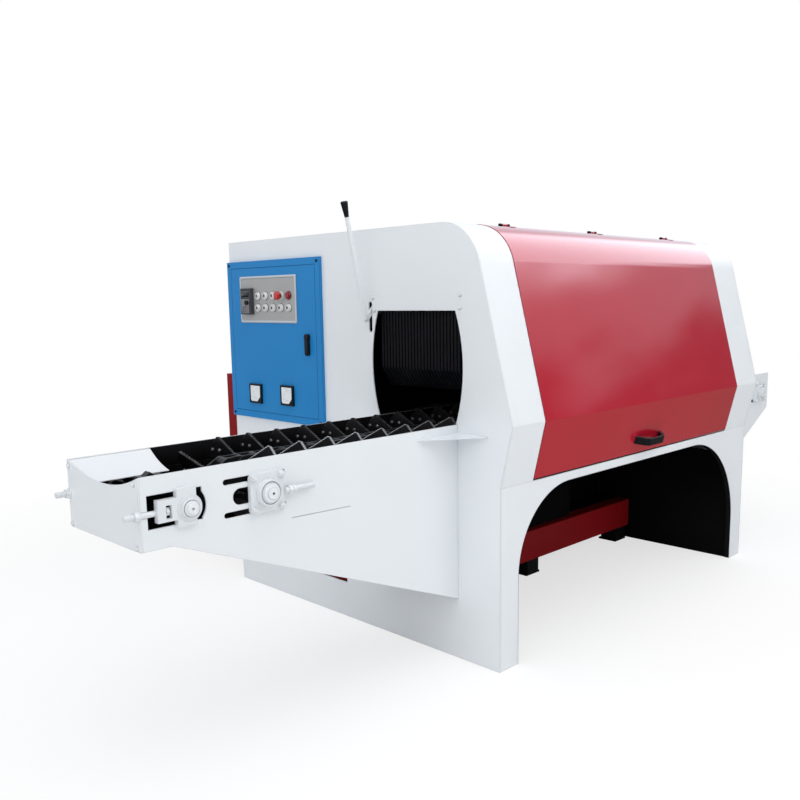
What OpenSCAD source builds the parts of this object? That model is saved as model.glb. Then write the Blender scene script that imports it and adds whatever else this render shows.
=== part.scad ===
// Multi rip saw for round logs: chain infeed, two saw arbors, hinged side cover, switch cabinet.
// Millimetres, +Z up, the log travels along +Y, the red cover faces +X.
// Inside this file x = 0 is the plane of the right legs and y = 0 the outside of the infeed wall.

/* [Housing] */
// Height of the flat roof above the floor
housing_h = 1750; // [1720:10:1850]
// Width from the left wall to the right legs
housing_w = 1753; // [1750:1:1850]
// Length along the feed, outside the two end walls
housing_l = 2160; // [2140:10:2300]
// Thickness of the housing sheet
sheet_t = 5; // [3:0.5:6]
// Height where the right side folds outward
fold_z = 739; // [725:1:745]
// Height of the crease in the right side
crease_z = 983; // [960:1:1010]
// How far the crease stands out past the legs
crease_out = 58; // [45:1:75]
// Lean of the upper right side from upright, in degrees
side_lean = 14.7; // [12:0.1:16]
// Radius of the shoulder between roof and side
shoulder_r = 200; // [160:5:230]
// Length of the white hood band at the infeed end
front_band_l = 206; // [160:1:240]
// Length of the white hood band at the outfeed end
rear_band_l = 246; // [200:1:280]
// Width of the front leg along the side
front_leg_l = 116; // [90:1:150]
// Width of the rear leg along the side
rear_leg_l = 120; // [90:1:150]
// Height of the arched cut-out in the right side
arch_z = 703; // [660:1:710]
// Corner radius of the arch at the infeed end
front_arch_r = 345; // [200:5:400]
// Corner radius of the arch at the outfeed end
rear_arch_r = 470; // [300:5:520]

/* [Log lane] */
// Distance of the lane's centre line from the right legs
lane_in = 443.5; // [430:0.5:460]
// Width of the log opening at its top edge
opening_w = 439; // [400:1:445]
// Drop from the roof to the top edge of the log opening
opening_drop = 338; // [330:1:360]
// How far each side of the log opening bows outward
opening_bow = 38; // [25:1:42]
// Width of a conveyor over its side plates
trough_w = 457; // [450:1:465]
// Height of the top edge of the conveyor side plates
plate_top = 968; // [960:1:972]
// Height of the end of a conveyor side plate
plate_h = 219; // [200:1:230]
// Thickness of the conveyor side plates
plate_t = 6; // [4:0.5:8]
// Length of the infeed conveyor before the housing
infeed_l = 1350; // [1340:5:1450]
// Height of the infeed plates' lower edge at the wall
infeed_root_z = 254; // [200:2:400]
// Length of the outfeed conveyor behind the housing
outfeed_l = 822; // [800:2:900]
// Height of the outfeed plates' lower edge at the wall
outfeed_root_z = 325; // [250:5:450]

/* [Carrier chain] */
// Pitch of the conveyor chain
chain_pitch = 63.5; // [62:0.1:64]
// Height of all chain shafts above the floor
shaft_z = 857; // [850:1:862]
// Diameter of the chain shafts
shaft_d = 40; // [35:1:45]
// Diameter of the chain rollers
roller_d = 39; // [34:1:40]
// Width between the inner link plates
chain_w = 34; // [28:1:38]
// Distance of the tail shaft before the infeed wall
tail_out = 922; // [900:1:940]
// Distance of the nose shaft before the infeed wall
nose_out = 1201; // [1192:1:1208]
// Half the distance between the two points of a carrier
carrier_half_w = 153; // [140:1:165]
// Height of the carrier points above the chain's pitch line
carrier_rise = 64; // [55:1:68]
// Fall of the toothed carrier edge toward the chain, in degrees
carrier_slope = 27; // [20:1:32]
// Number of teeth along each carrier edge
carrier_teeth = 11; // [6:1:14]

/* [Saw arbors] */
// Distance of the upper arbor behind the infeed wall
upper_y = 1000; // [990:1:1010]
// Drop from the roof to the upper arbor
upper_drop = 345; // [320:1:350]
// Distance of the lower arbor behind the infeed wall
lower_y = 1180; // [1170:1:1190]
// Height of the lower arbor
lower_z = 965; // [955:1:970]
// Diameter of the arbors
arbor_d = 70; // [60:1:80]
// Gap between the blade teeth of the two arbors
blade_gap = 36; // [30:1:70]
// Number of blades on one arbor
blade_count = 9; // [5:1:11]
// Number of teeth on a blade
blade_teeth = 24; // [16:2:36]
// Outer diameter of an arbor pulley
arbor_pulley_d = 160; // [140:2:180]
// Outer diameter of a motor pulley
motor_pulley_d = 260; // [220:2:280]
// Diameter of a main motor over its fins
motor_d = 420; // [380:5:430]
// Gap from the left wall to the fan end of a main motor
motor_end_gap = 113; // [80:1:190]

/* [Switch cabinet] */
// Width of the cabinet as a share of the housing
cabinet_w_share = 0.416; // [0.412:0.001:0.418]
// Height of the cabinet
cabinet_h = 770; // [750:1:780]
// Drop from the roof to the cabinet's lower edge
cabinet_drop = 868; // [850:1:880]
// Depth of the cabinet behind the infeed wall
cabinet_in = 200; // [160:5:215]
// How far the cabinet stands out of the infeed wall
cabinet_out = 16; // [14:1:30]
// Width of the rim around the cabinet door
rim_w = 32; // [28:1:45]
// Diameter of the small push buttons
button_d = 26; // [22:1:30]
// Diameter of the emergency stop
stop_d = 40; // [36:1:46]
// Side of a square panel meter
meter_w = 96; // [90:1:100]

/* [Side cover and fingers] */
// Thickness of the cover sheet
cover_t = 4; // [3:0.5:5]
// Length of the cover handle between its feet
handle_l = 230; // [200:5:280]
// Distance of the handle grip from the cover
handle_out = 52; // [45:1:60]
// How far the cover opens, in degrees
cover_open = 95; // [60:1:100]
// Number of anti-kickback fingers
finger_count = 25; // [18:1:25]
// Finger shaft above the top of the log opening
finger_rise = 32; // [28:1:38]
// Bend of the fingers as a share of the opening's height
finger_bend_share = 0.466; // [0.43:0.001:0.52]
// Finger tips as a share of the opening's height
finger_tip_share = 0.286; // [0.255:0.001:0.32]
// Lean of the lever toward the infeed side, in degrees
lever_lean = 12.5; // [8:0.5:16]
// Length of the lever rod
lever_l = 428; // [380:2:460]

/* [Hidden] */
$fn = 48;
half_share = 0.5;
third_share = 1 / 3;
// overrun of every cut, and the clearances of sheet joints, running fits and free pieces
cut = 1;
seam = 0.3;
fit_gap = 0.05;
free_gap = 3;
// cross-section of the hood: crease, fold, shoulder centre and the outward normals of its two flats
facet_len = norm([crease_out, crease_z - fold_z]);
facet_n = [(crease_z - fold_z) / facet_len, -crease_out / facet_len];
side_n = [cos(side_lean), sin(side_lean)];
shoulder_z = housing_h - shoulder_r;
shoulder_x = crease_out - (shoulder_r + side_n[1] * (shoulder_z - crease_z)) / side_n[0];
hood_reach = 400;
function crease_at(inset) =
  let (det = facet_n[0] * side_n[1] - facet_n[1] * side_n[0])
  [crease_out + inset * (facet_n[1] - side_n[1]) / det,
   crease_z + inset * (side_n[0] - facet_n[0]) / det];
function fold_at(inset) = [-inset, fold_z - inset * (1 - facet_n[0]) / facet_n[1]];
// red cover, its hinges and its handle
cover_proud = 2;
cover_y = front_band_l + free_gap;
cover_l = housing_l - front_band_l - rear_band_l - 2 * free_gap;
cover_foot_gap = 8;
lip_w = 22;
hinge_r = 6;
hinge_pin_r = 3;
hinge_x = shoulder_x;
hinge_z = housing_h + hinge_r + cover_proud;
hinge_l = 16;
hinge_leaf_w = 24;
hinge_leaf_t = 2;
hinge_end_in = 182;
hinge_shares = [0, 0.4935, 1];
hinge_span = cover_l - 2 * hinge_end_in;
handle_share = 0.7;
grip_h = 34;
grip_t = 11;
grip_bend = 44;
grip_corner = 12;
grip_foot = 20;
handle_mid = cover_y + cover_l * half_share;
handle_at = crease_at(-cover_proud) * (1 - handle_share) + fold_at(-cover_proud) * handle_share;
// log lane and conveyors
lane_x = -lane_in;
plate_bottom = plate_top - plate_h;
plate_flat_l = 95;
inner_drop = 75;
opening_top = housing_h - opening_drop;
opening_half_h = (opening_top - plate_top) * half_share;
opening_r = (opening_half_h * opening_half_h + opening_bow * opening_bow) / (2 * opening_bow);
opening_side_x = opening_w * half_share + opening_bow;
pass_gap = 0.5;
tail_y = -tail_out;
nose_y = -nose_out;
infeed_links = 25;
outfeed_links = 19;
outfeed_end_in = 152;
head_y = tail_y + infeed_links * chain_pitch;
end_y = housing_l + outfeed_l - outfeed_end_in;
inner_y = end_y - outfeed_links * chain_pitch;
plate_past = 95;
// conveyor chain
sprocket_teeth = 6;
wrap_step = 360 / sprocket_teeth;
pitch_r = chain_pitch / (2 * sin(wrap_step * half_share));
roller_r = roller_d * half_share;
link_h = 42;
link_t = 6;
link_gap = 0.4;
pin_r = 8;
pin_gap = 0.3;
roller_gap = 0.4;
inner_face = chain_w * half_share;
outer_face = inner_face + link_t + link_gap;
chain_edge = outer_face + link_t;
pocket_gap = 0.8;
pocket_r = roller_r + pocket_gap;
tooth_tip_share = 0.9;
wheel_gap = 1.5;
hub_r = 31;
hub_l = 90;
// carriers: two toothed plates bolted to each outer link
carrier_t = 8;
carrier_back = 18.3;
carrier_low = 13;
carrier_foot_w = 200;
carrier_shelf = 40;
tooth_h = 4;
carrier_tip_w = 6;
// bearings, rails and nose wheel
flange_w = 130;
flange_t = 14;
flange_corner_r = 16;
boss_r = 44;
boss_out = 32;
slot_w = 18;
bolt_half = 52.5;
bolt_slot_l = 217;
bolt_slot_back = 37;
shaft_slot_l = 110;
shaft_slot_w = 53;
shaft_slot_back = 39;
end_bolt_slot_l = 150;
end_shaft_slot_l = 30;
deck_t = 4;
deck_end = 105;
rail_w = 20;
tie_h = 24;
tie_w = 30;
tie_drop = 62;
tie_z = plate_bottom - tie_drop;
shaft_past = 46;
nose_wheel_r = 78;
nose_tooth_h = 11;
nose_teeth = 12;
nose_wheel_w = 30;
nose_shaft_r = 17.5;
window_z = 812;
window_h = 100;
window_front = 129;
window_l = 179;
window_round_r = 64;
neck_h = 67;
ear_front = 41;
ear_l = 64;
takeup_round_r = 42;
takeup_ring_r = 31;
takeup_step = 16;
takeup_ring_out = 24;
pocket_front = 77;
pocket_l = 18;
pocket_h = 40;
takeup_front = 104;
takeup_lug = 8;
takeup_out = 14;
takeup_boss_r = 40;
rod_r = 9;
rod_out = 45;
rod_nut_r = 15;
rod_nut_t = 14;
stud_z = 852;
stud_from = 65;
stud_l = 120;
scoop = 45;
scoop_r = (trough_w * trough_w * half_share * half_share + scoop * scoop) / (2 * scoop);
trough_gap_half = 20;
trough_fall = 33;
trough_t = 4;
trough_y0 = 5;
trough_outer_l = 274;
trough_inner_l = 230;
gusset_y = 230;
gusset_x = 155;
gusset_z = 930;
// base, inner walls and drives
foot_h = 80;
beam_h = 160;
beam_w = 116;
beam_t = 10;
beam_x = -760;
beam_y = 30;
beam_end = 117;
beam_z = foot_h + beam_h;
left_beam_in = 37;
left_beam_x = -housing_w + left_beam_in;
cross_w = 100;
foot_l = 113;
foot_in = 60;
foot_mid = 1023;
foot_rear_in = 260;
foot_y = [foot_in, foot_mid, housing_l - foot_rear_in];
wall_x = -720;
wall_t = 30;
wall_y = 810;
wall_l = 670;
wall_drop = 130;
wall_top = housing_h - wall_drop;
upper_z = housing_h - upper_drop;
bay_x = -855;
baffle_top = plate_bottom - 2 * inner_drop;
baffle_y = housing_l - rear_leg_l + sheet_t + seam;
housing_r = 92;
housing_flange_r = 118;
housing_flange_t = 16;
housing_len = 120;
pulley_x = -990;
pulley_w = 118;
groove_count = 4;
groove_w = 17;
groove_depth = 15;
belt_t = 12;
belt_gap = 0.5;
rim_edge = (pulley_w - groove_count * groove_w) / (groove_count + 1);
motor_x = -1040;
front_motor_y = 480;
rear_motor_in = 440;
rear_motor_y = housing_l - rear_motor_in;
motor_l = housing_w - motor_end_gap + motor_x;
motor_shaft_r = 30;
motor_lift = 15;
motor_axis_z = beam_z + motor_d * half_share + motor_lift;
fin_count = 28;
fin_h = 22;
fin_t = 8;
blade_t = 4;
blade_d = norm([lower_y - upper_y, upper_z - lower_z]) - blade_gap;
blade_span = 400;
blade_tooth = 14;
collar_r = 62;
nut_r = 55;
nut_l = 36;
arbor_right = 205;
gear_w = 105;
gear_r = 105;
gear_motor_r = 60;
gear_motor_l = 240;
// switch cabinet
cabinet_left_in = 0;
tray_in = 18;
cabinet_x = -housing_w + cabinet_left_in;
cabinet_w = housing_w * cabinet_w_share;
cabinet_z = housing_h - cabinet_drop;
box_t = 3;
door_t = 3;
door_gap = 2;
door_lip = 14;
door_face = -cabinet_out;
door_x = cabinet_x + rim_w + door_gap;
door_w = cabinet_w - 2 * (rim_w + door_gap);
door_z = cabinet_z + rim_w + door_gap;
door_h = cabinet_h - 2 * (rim_w + door_gap);
panel_in = 111;
panel_x = cabinet_x + panel_in;
panel_w = 451;
panel_up = 473;
panel_z = cabinet_z + panel_up;
panel_h = 224;
panel_t = 2;
panel_face = door_face - panel_t;
column_in = 151;
column_x = panel_x + column_in;
column_step = 60.5;
top_row_up = 129;
top_row_z = panel_z + top_row_up;
low_row_up = 72;
low_row_z = panel_z + low_row_up;
ring_t = 8;
ring_w = 4;
button_rest = 5;
button_out = 8;
dome_t = 3;
button_gap = 0.5;
stop_rest = 8;
stop_out = 32;
stop_stem_r = 11;
stop_head_t = 14;
keypad_w = 83;
keypad_h = 126;
keypad_out = 20;
keypad_knob_r = 11;
keypad_knob_t = 12;
meter_in = [167, 422];
meter_x = [cabinet_x + meter_in[0], cabinet_x + meter_in[1]];
meter_up = [76, 82];
meter_z = [cabinet_z + meter_up[0], cabinet_z + meter_up[1]];
meter_out = 12;
meter_rim = 7;
handle_in = 91;
handle_x = cabinet_x + cabinet_w - handle_in;
door_handle_up = 411;
door_handle_z = cabinet_z + door_handle_up;
door_handle_w = 28;
door_handle_h = 100;
door_handle_t = 16;
door_grip_share = 0.8;
// lever and fingers
finger_y = 36;
finger_z = opening_top + finger_rise;
finger_bend_z = plate_top + (opening_top - plate_top) * finger_bend_share;
finger_tip_z = plate_top + (opening_top - plate_top) * finger_tip_share;
finger_shaft_r = 12;
finger_eye_r = 22;
finger_w = 24;
finger_t = 11;
finger_pitch = 18;
finger_lean = 33;
block_x = [-698, -212];
block_w = 26;
block_h = 92;
lever_x = -707;
crank_t = 10;
crank_w = 20;
crank_y = -27;
crank_drop = 38;
crank_z = opening_top - crank_drop;
rod_lever_r = 9;
knob_l = 64;
knob_r = 15.5;
knob_edge = 4;
slot_lever_w = 20;
slot_lever_drop = 90;
slot_lever_z = opening_top - slot_lever_drop;
slot_lever_h = 128;
notch_x = -1165;
notch_w = 260;
notch_z = 165;
notch_h = 65;
// left guard
guard_out = 150;
guard_y = 50;
guard_z = 250;
guard_top = 1082;
guard_t = 3;
vent_count = 10;
vent_w = 60;
vent_h = 12;
vent_y = 340;
vent_drop = 170;
// placement: the origin lies under the middle of the whole machine
x_min = -housing_w - guard_out;
x_max = handle_at[0] + facet_n[0] * handle_out - facet_n[1] * grip_h * half_share;
y_min = -infeed_l - plate_t - rod_out;
y_max = housing_l + outfeed_l;
module placed() translate([-(x_min + x_max) * half_share, -(y_min + y_max) * half_share, 0]) children();

// a plate with its outline in x and z, or in y and z
module slab_xz(y, t) translate([0, y + t, 0]) rotate([90, 0, 0]) linear_extrude(t) children();
module slab_yz(x, t) translate([x, 0, 0]) rotate([90, 0, 90]) linear_extrude(t) children();
// a bar along x about the axis at y and z
module bar_x(x, y, z, r, l) translate([x, y, z]) rotate([0, 90, 0]) cylinder(r = r, h = l);
module slot2d(l, w) {
  square([l, w], center = true);
  translate([-l * half_share, 0]) circle(d = w);
  translate([l * half_share, 0]) circle(d = w);
}

// cross-section of the hood, drawn in from its outside by inset
module hood2d(inset) {
  crease = crease_at(inset);
  fold = fold_at(inset);
  r = shoulder_r - inset;
  // the flat side runs into the round shoulder by one fit gap, so the two meet at a clear line
  bend = r - fit_gap;
  polygon([
    [-housing_w + inset, 0], [-inset, 0], fold, crease,
    [shoulder_x + bend * side_n[0], shoulder_z + bend * side_n[1]],
    [shoulder_x, housing_h - inset], [-housing_w + inset, housing_h - inset]
  ]);
  translate([shoulder_x, shoulder_z]) circle(r = r, $fn = 96);
}
// the part of the hood's skin right of the roof and above a height
module skin2d(outside, inside, from_z) {
  intersection() {
    difference() {
      hood2d(outside);
      hood2d(inside);
    }
    translate([shoulder_x, from_z]) square([hood_reach * 2, housing_h]);
  }
}
// log opening with bowed sides, and the passage of the conveyor under it
module opening2d() {
  translate([lane_x, plate_top + opening_half_h]) intersection() {
    translate([opening_side_x - opening_r, 0]) circle(r = opening_r, $fn = 96);
    translate([opening_r - opening_side_x, 0]) circle(r = opening_r, $fn = 96);
    square([2 * opening_side_x, 2 * opening_half_h], center = true);
  }
  translate([lane_x - trough_w * half_share - pass_gap, plate_bottom - inner_drop - pass_gap])
    square([trough_w + 2 * pass_gap, plate_h + inner_drop + 2 * pass_gap]);
}
module front_wall() color("white") slab_xz(0, sheet_t) difference() {
  hood2d(0);
  opening2d();
  translate([lever_x, slot_lever_z + slot_lever_h * half_share]) rotate(90)
    slot2d(slot_lever_h - slot_lever_w, slot_lever_w);
  translate([cabinet_x + tray_in - seam, cabinet_z + tray_in - seam])
    square([cabinet_w - 2 * (tray_in - seam), cabinet_h - 2 * (tray_in - seam)]);
  translate([notch_x, notch_z]) square([notch_w, notch_h]);
}
module rear_wall() color("white") slab_xz(housing_l - sheet_t, sheet_t) difference() {
  hood2d(0);
  opening2d();
}
// white hood bands with the lips that the red cover closes on
module hood_bands() color("white") {
  slab_xz(sheet_t, front_band_l - sheet_t) skin2d(0, sheet_t, fold_z);
  slab_xz(front_band_l - lip_w, 2 * lip_w) skin2d(sheet_t, 2 * sheet_t, fold_z + lip_w);
  slab_xz(housing_l - rear_band_l, rear_band_l - sheet_t) skin2d(0, sheet_t, fold_z);
  slab_xz(housing_l - rear_band_l - lip_w, 2 * lip_w) skin2d(sheet_t, 2 * sheet_t, fold_z + lip_w);
}
module roof_panel() color("white") translate([-housing_w, sheet_t, housing_h - sheet_t])
  cube([housing_w + shoulder_x, housing_l - 2 * sheet_t, sheet_t]);
module left_wall() color("white") difference() {
  translate([-housing_w, sheet_t, 0]) cube([sheet_t, housing_l - 2 * sheet_t, housing_h - sheet_t]);
  translate([-housing_w - cut, guard_y + lip_w, guard_z + lip_w])
    cube([sheet_t + 2 * cut, housing_l - 2 * guard_y - 2 * lip_w, guard_top - guard_z - 2 * lip_w]);
}
// right side below the fold, with the arch and its folded edge
module arch2d(inset) {
  l = housing_l - front_leg_l - rear_leg_l - 2 * inset;
  top = arch_z - inset;
  rf = front_arch_r - inset;
  rr = rear_arch_r - inset;
  translate([front_leg_l + inset, -cut]) difference() {
    square([l, top + cut]);
    translate([-cut, top + cut - rf]) difference() {
      square([rf + cut, rf + cut]);
      translate([rf + cut, 0]) circle(r = rf, $fn = 96);
    }
    translate([l - rr, top + cut - rr]) difference() {
      square([rr + cut, rr + cut]);
      circle(r = rr, $fn = 96);
    }
  }
}
module side_skirt() color("white") {
  slab_yz(-sheet_t, sheet_t) difference() {
    translate([sheet_t, 0]) square([housing_l - 2 * sheet_t, fold_z]);
    arch2d(0);
  }
  slab_yz(-sheet_t - lip_w, lip_w) intersection() {
    difference() {
      arch2d(-sheet_t);
      arch2d(0);
    }
    square([housing_l, fold_z]);
  }
}
// red guard over the motor end of the left side, a box open toward the machine
module motor_guard() color("firebrick") difference() {
  translate([-housing_w - guard_out, guard_y, guard_z])
    cube([guard_out, housing_l - 2 * guard_y, guard_top - guard_z]);
  translate([-housing_w - guard_out + guard_t, guard_y + guard_t, guard_z + guard_t])
    cube([guard_out, housing_l - 2 * guard_y - 2 * guard_t, guard_top - guard_z - 2 * guard_t]);
  for (i = [0 : vent_count - 1])
    translate([-housing_w - guard_out - cut, vent_y + i * (vent_w + vent_h * 2), guard_top - vent_drop])
      for (j = [0 : 2]) translate([0, 0, -j * vent_h * 2]) cube([guard_t + 2 * cut, vent_w, vent_h]);
}
// red base: two hollow beams, three cross beams and the motor seats
module beam(x, y, w, l) difference() {
  translate([x, y, foot_h]) cube([w, l, beam_h]);
  translate([x + beam_t, y - cut, foot_h + beam_t])
    cube([w - 2 * beam_t, l + 2 * cut, beam_h - 2 * beam_t]);
}
module base_frame() color("firebrick") {
  run_l = housing_l - beam_end - beam_y;
  cross_l = beam_x - left_beam_x - beam_w;
  beam(beam_x, beam_y, beam_w, run_l);
  beam(left_beam_x, beam_y, beam_w, run_l);
  for (y = [beam_y, front_motor_y, (run_l + beam_y) * half_share, rear_motor_y])
    difference() {
      translate([left_beam_x + beam_w, y, foot_h]) cube([cross_l, cross_w, beam_h]);
      translate([left_beam_x + beam_w - cut, y + beam_t, foot_h + beam_t])
        cube([cross_l + 2 * cut, cross_w - 2 * beam_t, beam_h - 2 * beam_t]);
    }
}
module machine_feet() color("black") for (x = [beam_x, left_beam_x], y = foot_y)
  translate([x, y, 0]) {
    cube([beam_w, foot_l, sheet_t * 2]);
    translate([beam_t, beam_t, 0]) cube([beam_w - beam_t, foot_l - 2 * beam_t, foot_h]);
  }
// black spindle wall on the right beam, partition to the motor bay, baffle before the rear legs
module inner_walls() color("black") {
  slab_yz(wall_x, wall_t) difference() {
    translate([wall_y, beam_z]) square([wall_l, wall_top - beam_z]);
    translate([upper_y, upper_z]) circle(r = housing_r + seam);
    translate([lower_y, lower_z]) circle(r = housing_r + seam);
  }
  translate([bay_x, baffle_y, 0]) cube([-bay_x - sheet_t - seam, sheet_t, baffle_top]);
  translate([bay_x, 2 * sheet_t, beam_z + seam])
    cube([wall_x - bay_x - sheet_t, baffle_y - 2 * sheet_t, sheet_t]);
  slab_yz(bay_x - sheet_t, sheet_t) difference() {
    translate([2 * sheet_t, beam_z + seam])
      square([baffle_y - 2 * sheet_t - seam, housing_h - sheet_t - free_gap - beam_z]);
    translate([upper_y, upper_z]) circle(r = arbor_d * half_share + free_gap);
    translate([lower_y, lower_z]) circle(r = arbor_d * half_share + free_gap);
  }
}

// spindle housings: flange in the saw bay, barrel through the wall
module spindle_housings() color("dimgray") for (p = [[upper_y, upper_z], [lower_y, lower_z]]) difference() {
  union() {
    bar_x(wall_x + wall_t, p[0], p[1], housing_flange_r, housing_flange_t);
    bar_x(wall_x - housing_len, p[0], p[1], housing_r, housing_len + wall_t);
  }
  bar_x(wall_x - housing_len - cut, p[0], p[1], arbor_d * half_share + fit_gap, housing_len * 2);
}
// arbor: shaft, collars between the blades, end nut and belt pulley
blade_pitch = blade_span / (blade_count - 1);
blade_x0 = lane_x - blade_span * half_share;
module pulley(x, y, z, r, bore_r) translate([x, y, z]) rotate([0, 90, 0]) rotate_extrude() difference() {
  translate([bore_r, 0]) square([r - bore_r, pulley_w]);
  for (i = [0 : groove_count - 1]) translate([r - groove_depth, rim_edge + i * (groove_w + rim_edge)])
    square([groove_depth + cut, groove_w]);
}
module arbor(y, z) color("lightgray") {
  bore_r = arbor_d * half_share;
  bar_x(pulley_x - nut_l * half_share, y, z, bore_r, -pulley_x - arbor_right + nut_l * half_share);
  pulley(pulley_x, y, z, arbor_pulley_d * half_share, bore_r);
  for (i = [0 : blade_count]) {
    from = i == 0 ? wall_x + wall_t + housing_flange_t + seam : blade_x0 + (i - 1) * blade_pitch + blade_t;
    to = i == blade_count ? blade_x0 + blade_span + blade_pitch * half_share : blade_x0 + i * blade_pitch;
    if (to > from) difference() {
      bar_x(from + seam, y, z, collar_r, to - from - 2 * seam);
      bar_x(from, y, z, bore_r - seam, to - from);
    }
  }
  translate([blade_x0 + blade_span + blade_pitch * half_share, y, z]) rotate([0, 90, 0])
    difference() {
      cylinder(r = nut_r, h = nut_l, $fn = 6);
      translate([0, 0, -cut]) cylinder(r = bore_r - seam, h = nut_l + 2 * cut);
    }
}
module blade2d() {
  r = blade_d * half_share;
  root = r - blade_tooth;
  step = 360 / blade_teeth;
  lead_share = 0.25;
  tooth = [[root, 0], [r, lead_share], [root + blade_tooth * half_share, half_share]];
  outline = [
    for (i = [0 : blade_teeth - 1], p = tooth)
      p[0] * [cos((i + p[1]) * step), sin((i + p[1]) * step)]
  ];
  difference() {
    polygon(outline);
    circle(d = arbor_d + seam);
  }
}
module blades(y, z) color("silver") for (i = [0 : blade_count - 1])
  slab_yz(blade_x0 + i * blade_pitch, blade_t) translate([y, z]) blade2d();
module upper_arbor() arbor(upper_y, upper_z);
module lower_arbor() arbor(lower_y, lower_z);
module upper_blades() blades(upper_y, upper_z);
module lower_blades() blades(lower_y, lower_z);

// main motors: finned frame, end bell, terminal box and feet, with the rotor free inside
module main_motor(y) {
  r = motor_d * half_share;
  difference() {
    union() {
      translate([motor_x - motor_l, y, motor_axis_z]) rotate([0, 90, 0]) {
        cylinder(r = r - fin_h, h = motor_l);
        cylinder(r = r - fin_h * half_share, h = motor_l * half_share * half_share);
        translate([0, 0, motor_l * half_share * half_share]) linear_extrude(motor_l * half_share)
          for (i = [0 : fin_count - 1]) rotate(i * 360 / fin_count)
            translate([r - 2 * fin_h, -fin_t * half_share]) square([2 * fin_h, fin_t]);
      }
      translate([motor_x - motor_l * half_share, y - r * half_share, beam_z])
        cube([motor_l * third_share, r, r * half_share]);
      translate([motor_x - motor_l * half_share, y - r * third_share, motor_axis_z])
        cube([motor_l * third_share, r * third_share * 2, r + fin_h * 2]);
    }
    bar_x(motor_x - motor_l * half_share, y, motor_axis_z, motor_shaft_r + fit_gap, motor_l);
  }
}
module main_motors() color("steelblue") {
  main_motor(front_motor_y);
  main_motor(rear_motor_y);
}
module rotor(y) color("silver") {
  from = motor_x - motor_l * half_share + cut;
  bar_x(from, y, motor_axis_z, motor_shaft_r, pulley_x + pulley_w - from);
  pulley(pulley_x, y, motor_axis_z, motor_pulley_d * half_share, motor_shaft_r);
}
module front_motor_rotor() rotor(front_motor_y);
module rear_motor_rotor() rotor(rear_motor_y);
// four belts from each motor to its arbor, seated in the pulley grooves
module loop2d(a, b, ra, rb) {
  d = norm(b - a);
  turn = atan2(b[1] - a[1], b[0] - a[0]);
  lean = acos((ra - rb) / d);
  for (c = [[a, ra], [b, rb]]) translate(c[0]) circle(r = c[1], $fn = 96);
  polygon([for (q = [[a, ra, lean], [b, rb, lean], [b, rb, -lean], [a, ra, -lean]])
    q[0] + q[1] * [cos(turn + q[2]), sin(turn + q[2])]]);
}
module belts(motor_at, arbor_at) {
  rm = motor_pulley_d * half_share - groove_depth + belt_gap;
  ra = arbor_pulley_d * half_share - groove_depth + belt_gap;
  for (i = [0 : groove_count - 1])
    slab_yz(pulley_x + rim_edge + i * (groove_w + rim_edge) + belt_gap, groove_w - 2 * belt_gap)
      difference() {
        loop2d(motor_at, arbor_at, rm + belt_t, ra + belt_t);
        loop2d(motor_at, arbor_at, rm, ra);
      }
}
module drive_belts() color("black") {
  belts([front_motor_y, motor_axis_z], [upper_y, upper_z]);
  belts([rear_motor_y, motor_axis_z], [lower_y, lower_z]);
}
// feed gearmotors on the driven chain shafts, left of the lane
gear_x = lane_x - trough_w * half_share - boss_out - gear_w - free_gap;
module gearmotor(y, way) difference() {
  union() {
    bar_x(gear_x, y, shaft_z, gear_r, gear_w);
    translate([gear_x + gear_w * half_share, y, shaft_z + gear_r * half_share]) rotate([-way * 90, 0, 0])
      {
        cylinder(r = gear_motor_r - fin_t, h = gear_r + gear_motor_l);
        translate([0, 0, gear_r]) cylinder(r = gear_motor_r, h = gear_motor_l * half_share);
      }
  }
  bar_x(gear_x - cut, y, shaft_z, shaft_d * half_share + fit_gap, gear_w + 2 * cut);
}
module feed_gearmotors() color("steelblue") {
  gearmotor(head_y, -1);
  gearmotor(inner_y, 1);
}

// infeed side plates, outline in y and z, with windows and slots, plus the gusset shelves
right_plate_x = lane_x + trough_w * half_share - plate_t;
left_plate_x = lane_x - trough_w * half_share;
module infeed_plate2d() difference() {
  polygon([
    [-infeed_l, plate_top], [-infeed_l, plate_bottom], [plate_flat_l - infeed_l, plate_bottom],
    [-seam, infeed_root_z], [-seam, plate_bottom - inner_drop],
    [head_y + plate_past, plate_bottom - inner_drop], [head_y + plate_past, plate_top]
  ]);
  translate([nose_y - window_front, window_z]) square([window_l, window_h]);
  intersection() {
    translate([nose_y, shaft_z]) circle(r = window_round_r);
    translate([nose_y, shaft_z - takeup_boss_r]) square([2 * window_round_r, 2 * takeup_boss_r]);
  }
  translate([-infeed_l - cut, shaft_z - rod_r - seam]) square([infeed_l + nose_y, 2 * (rod_r + seam)]);
  for (s = [-1, 1]) translate([tail_y - bolt_slot_back, shaft_z + s * bolt_half])
    slot2d(bolt_slot_l, slot_w);
  translate([tail_y - shaft_slot_back, shaft_z]) slot2d(shaft_slot_l, shaft_slot_w);
  translate([head_y, shaft_z]) circle(d = shaft_slot_w);
}
module infeed_side_plates() color("white") {
  slab_yz(right_plate_x, plate_t) infeed_plate2d();
  slab_yz(left_plate_x, plate_t) infeed_plate2d();
  for (s = [-1, 1]) translate([lane_x, 0, gusset_z]) scale([s, 1, 1]) linear_extrude(sheet_t)
    polygon([[trough_w * half_share, -seam], [trough_w * half_share, -gusset_y],
      [trough_w * half_share + gusset_x, -seam]]);
}
module infeed_end_plate() color("white") slab_xz(-infeed_l - plate_t, plate_t) difference() {
  translate([left_plate_x, plate_bottom]) square([trough_w, plate_h]);
  translate([lane_x, plate_top - scoop + scoop_r]) circle(r = scoop_r, $fn = 128);
  for (s = [-1, 1]) translate([lane_x + s * (trough_w - plate_t) * half_share, shaft_z])
    circle(r = rod_r + seam);
}
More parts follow.
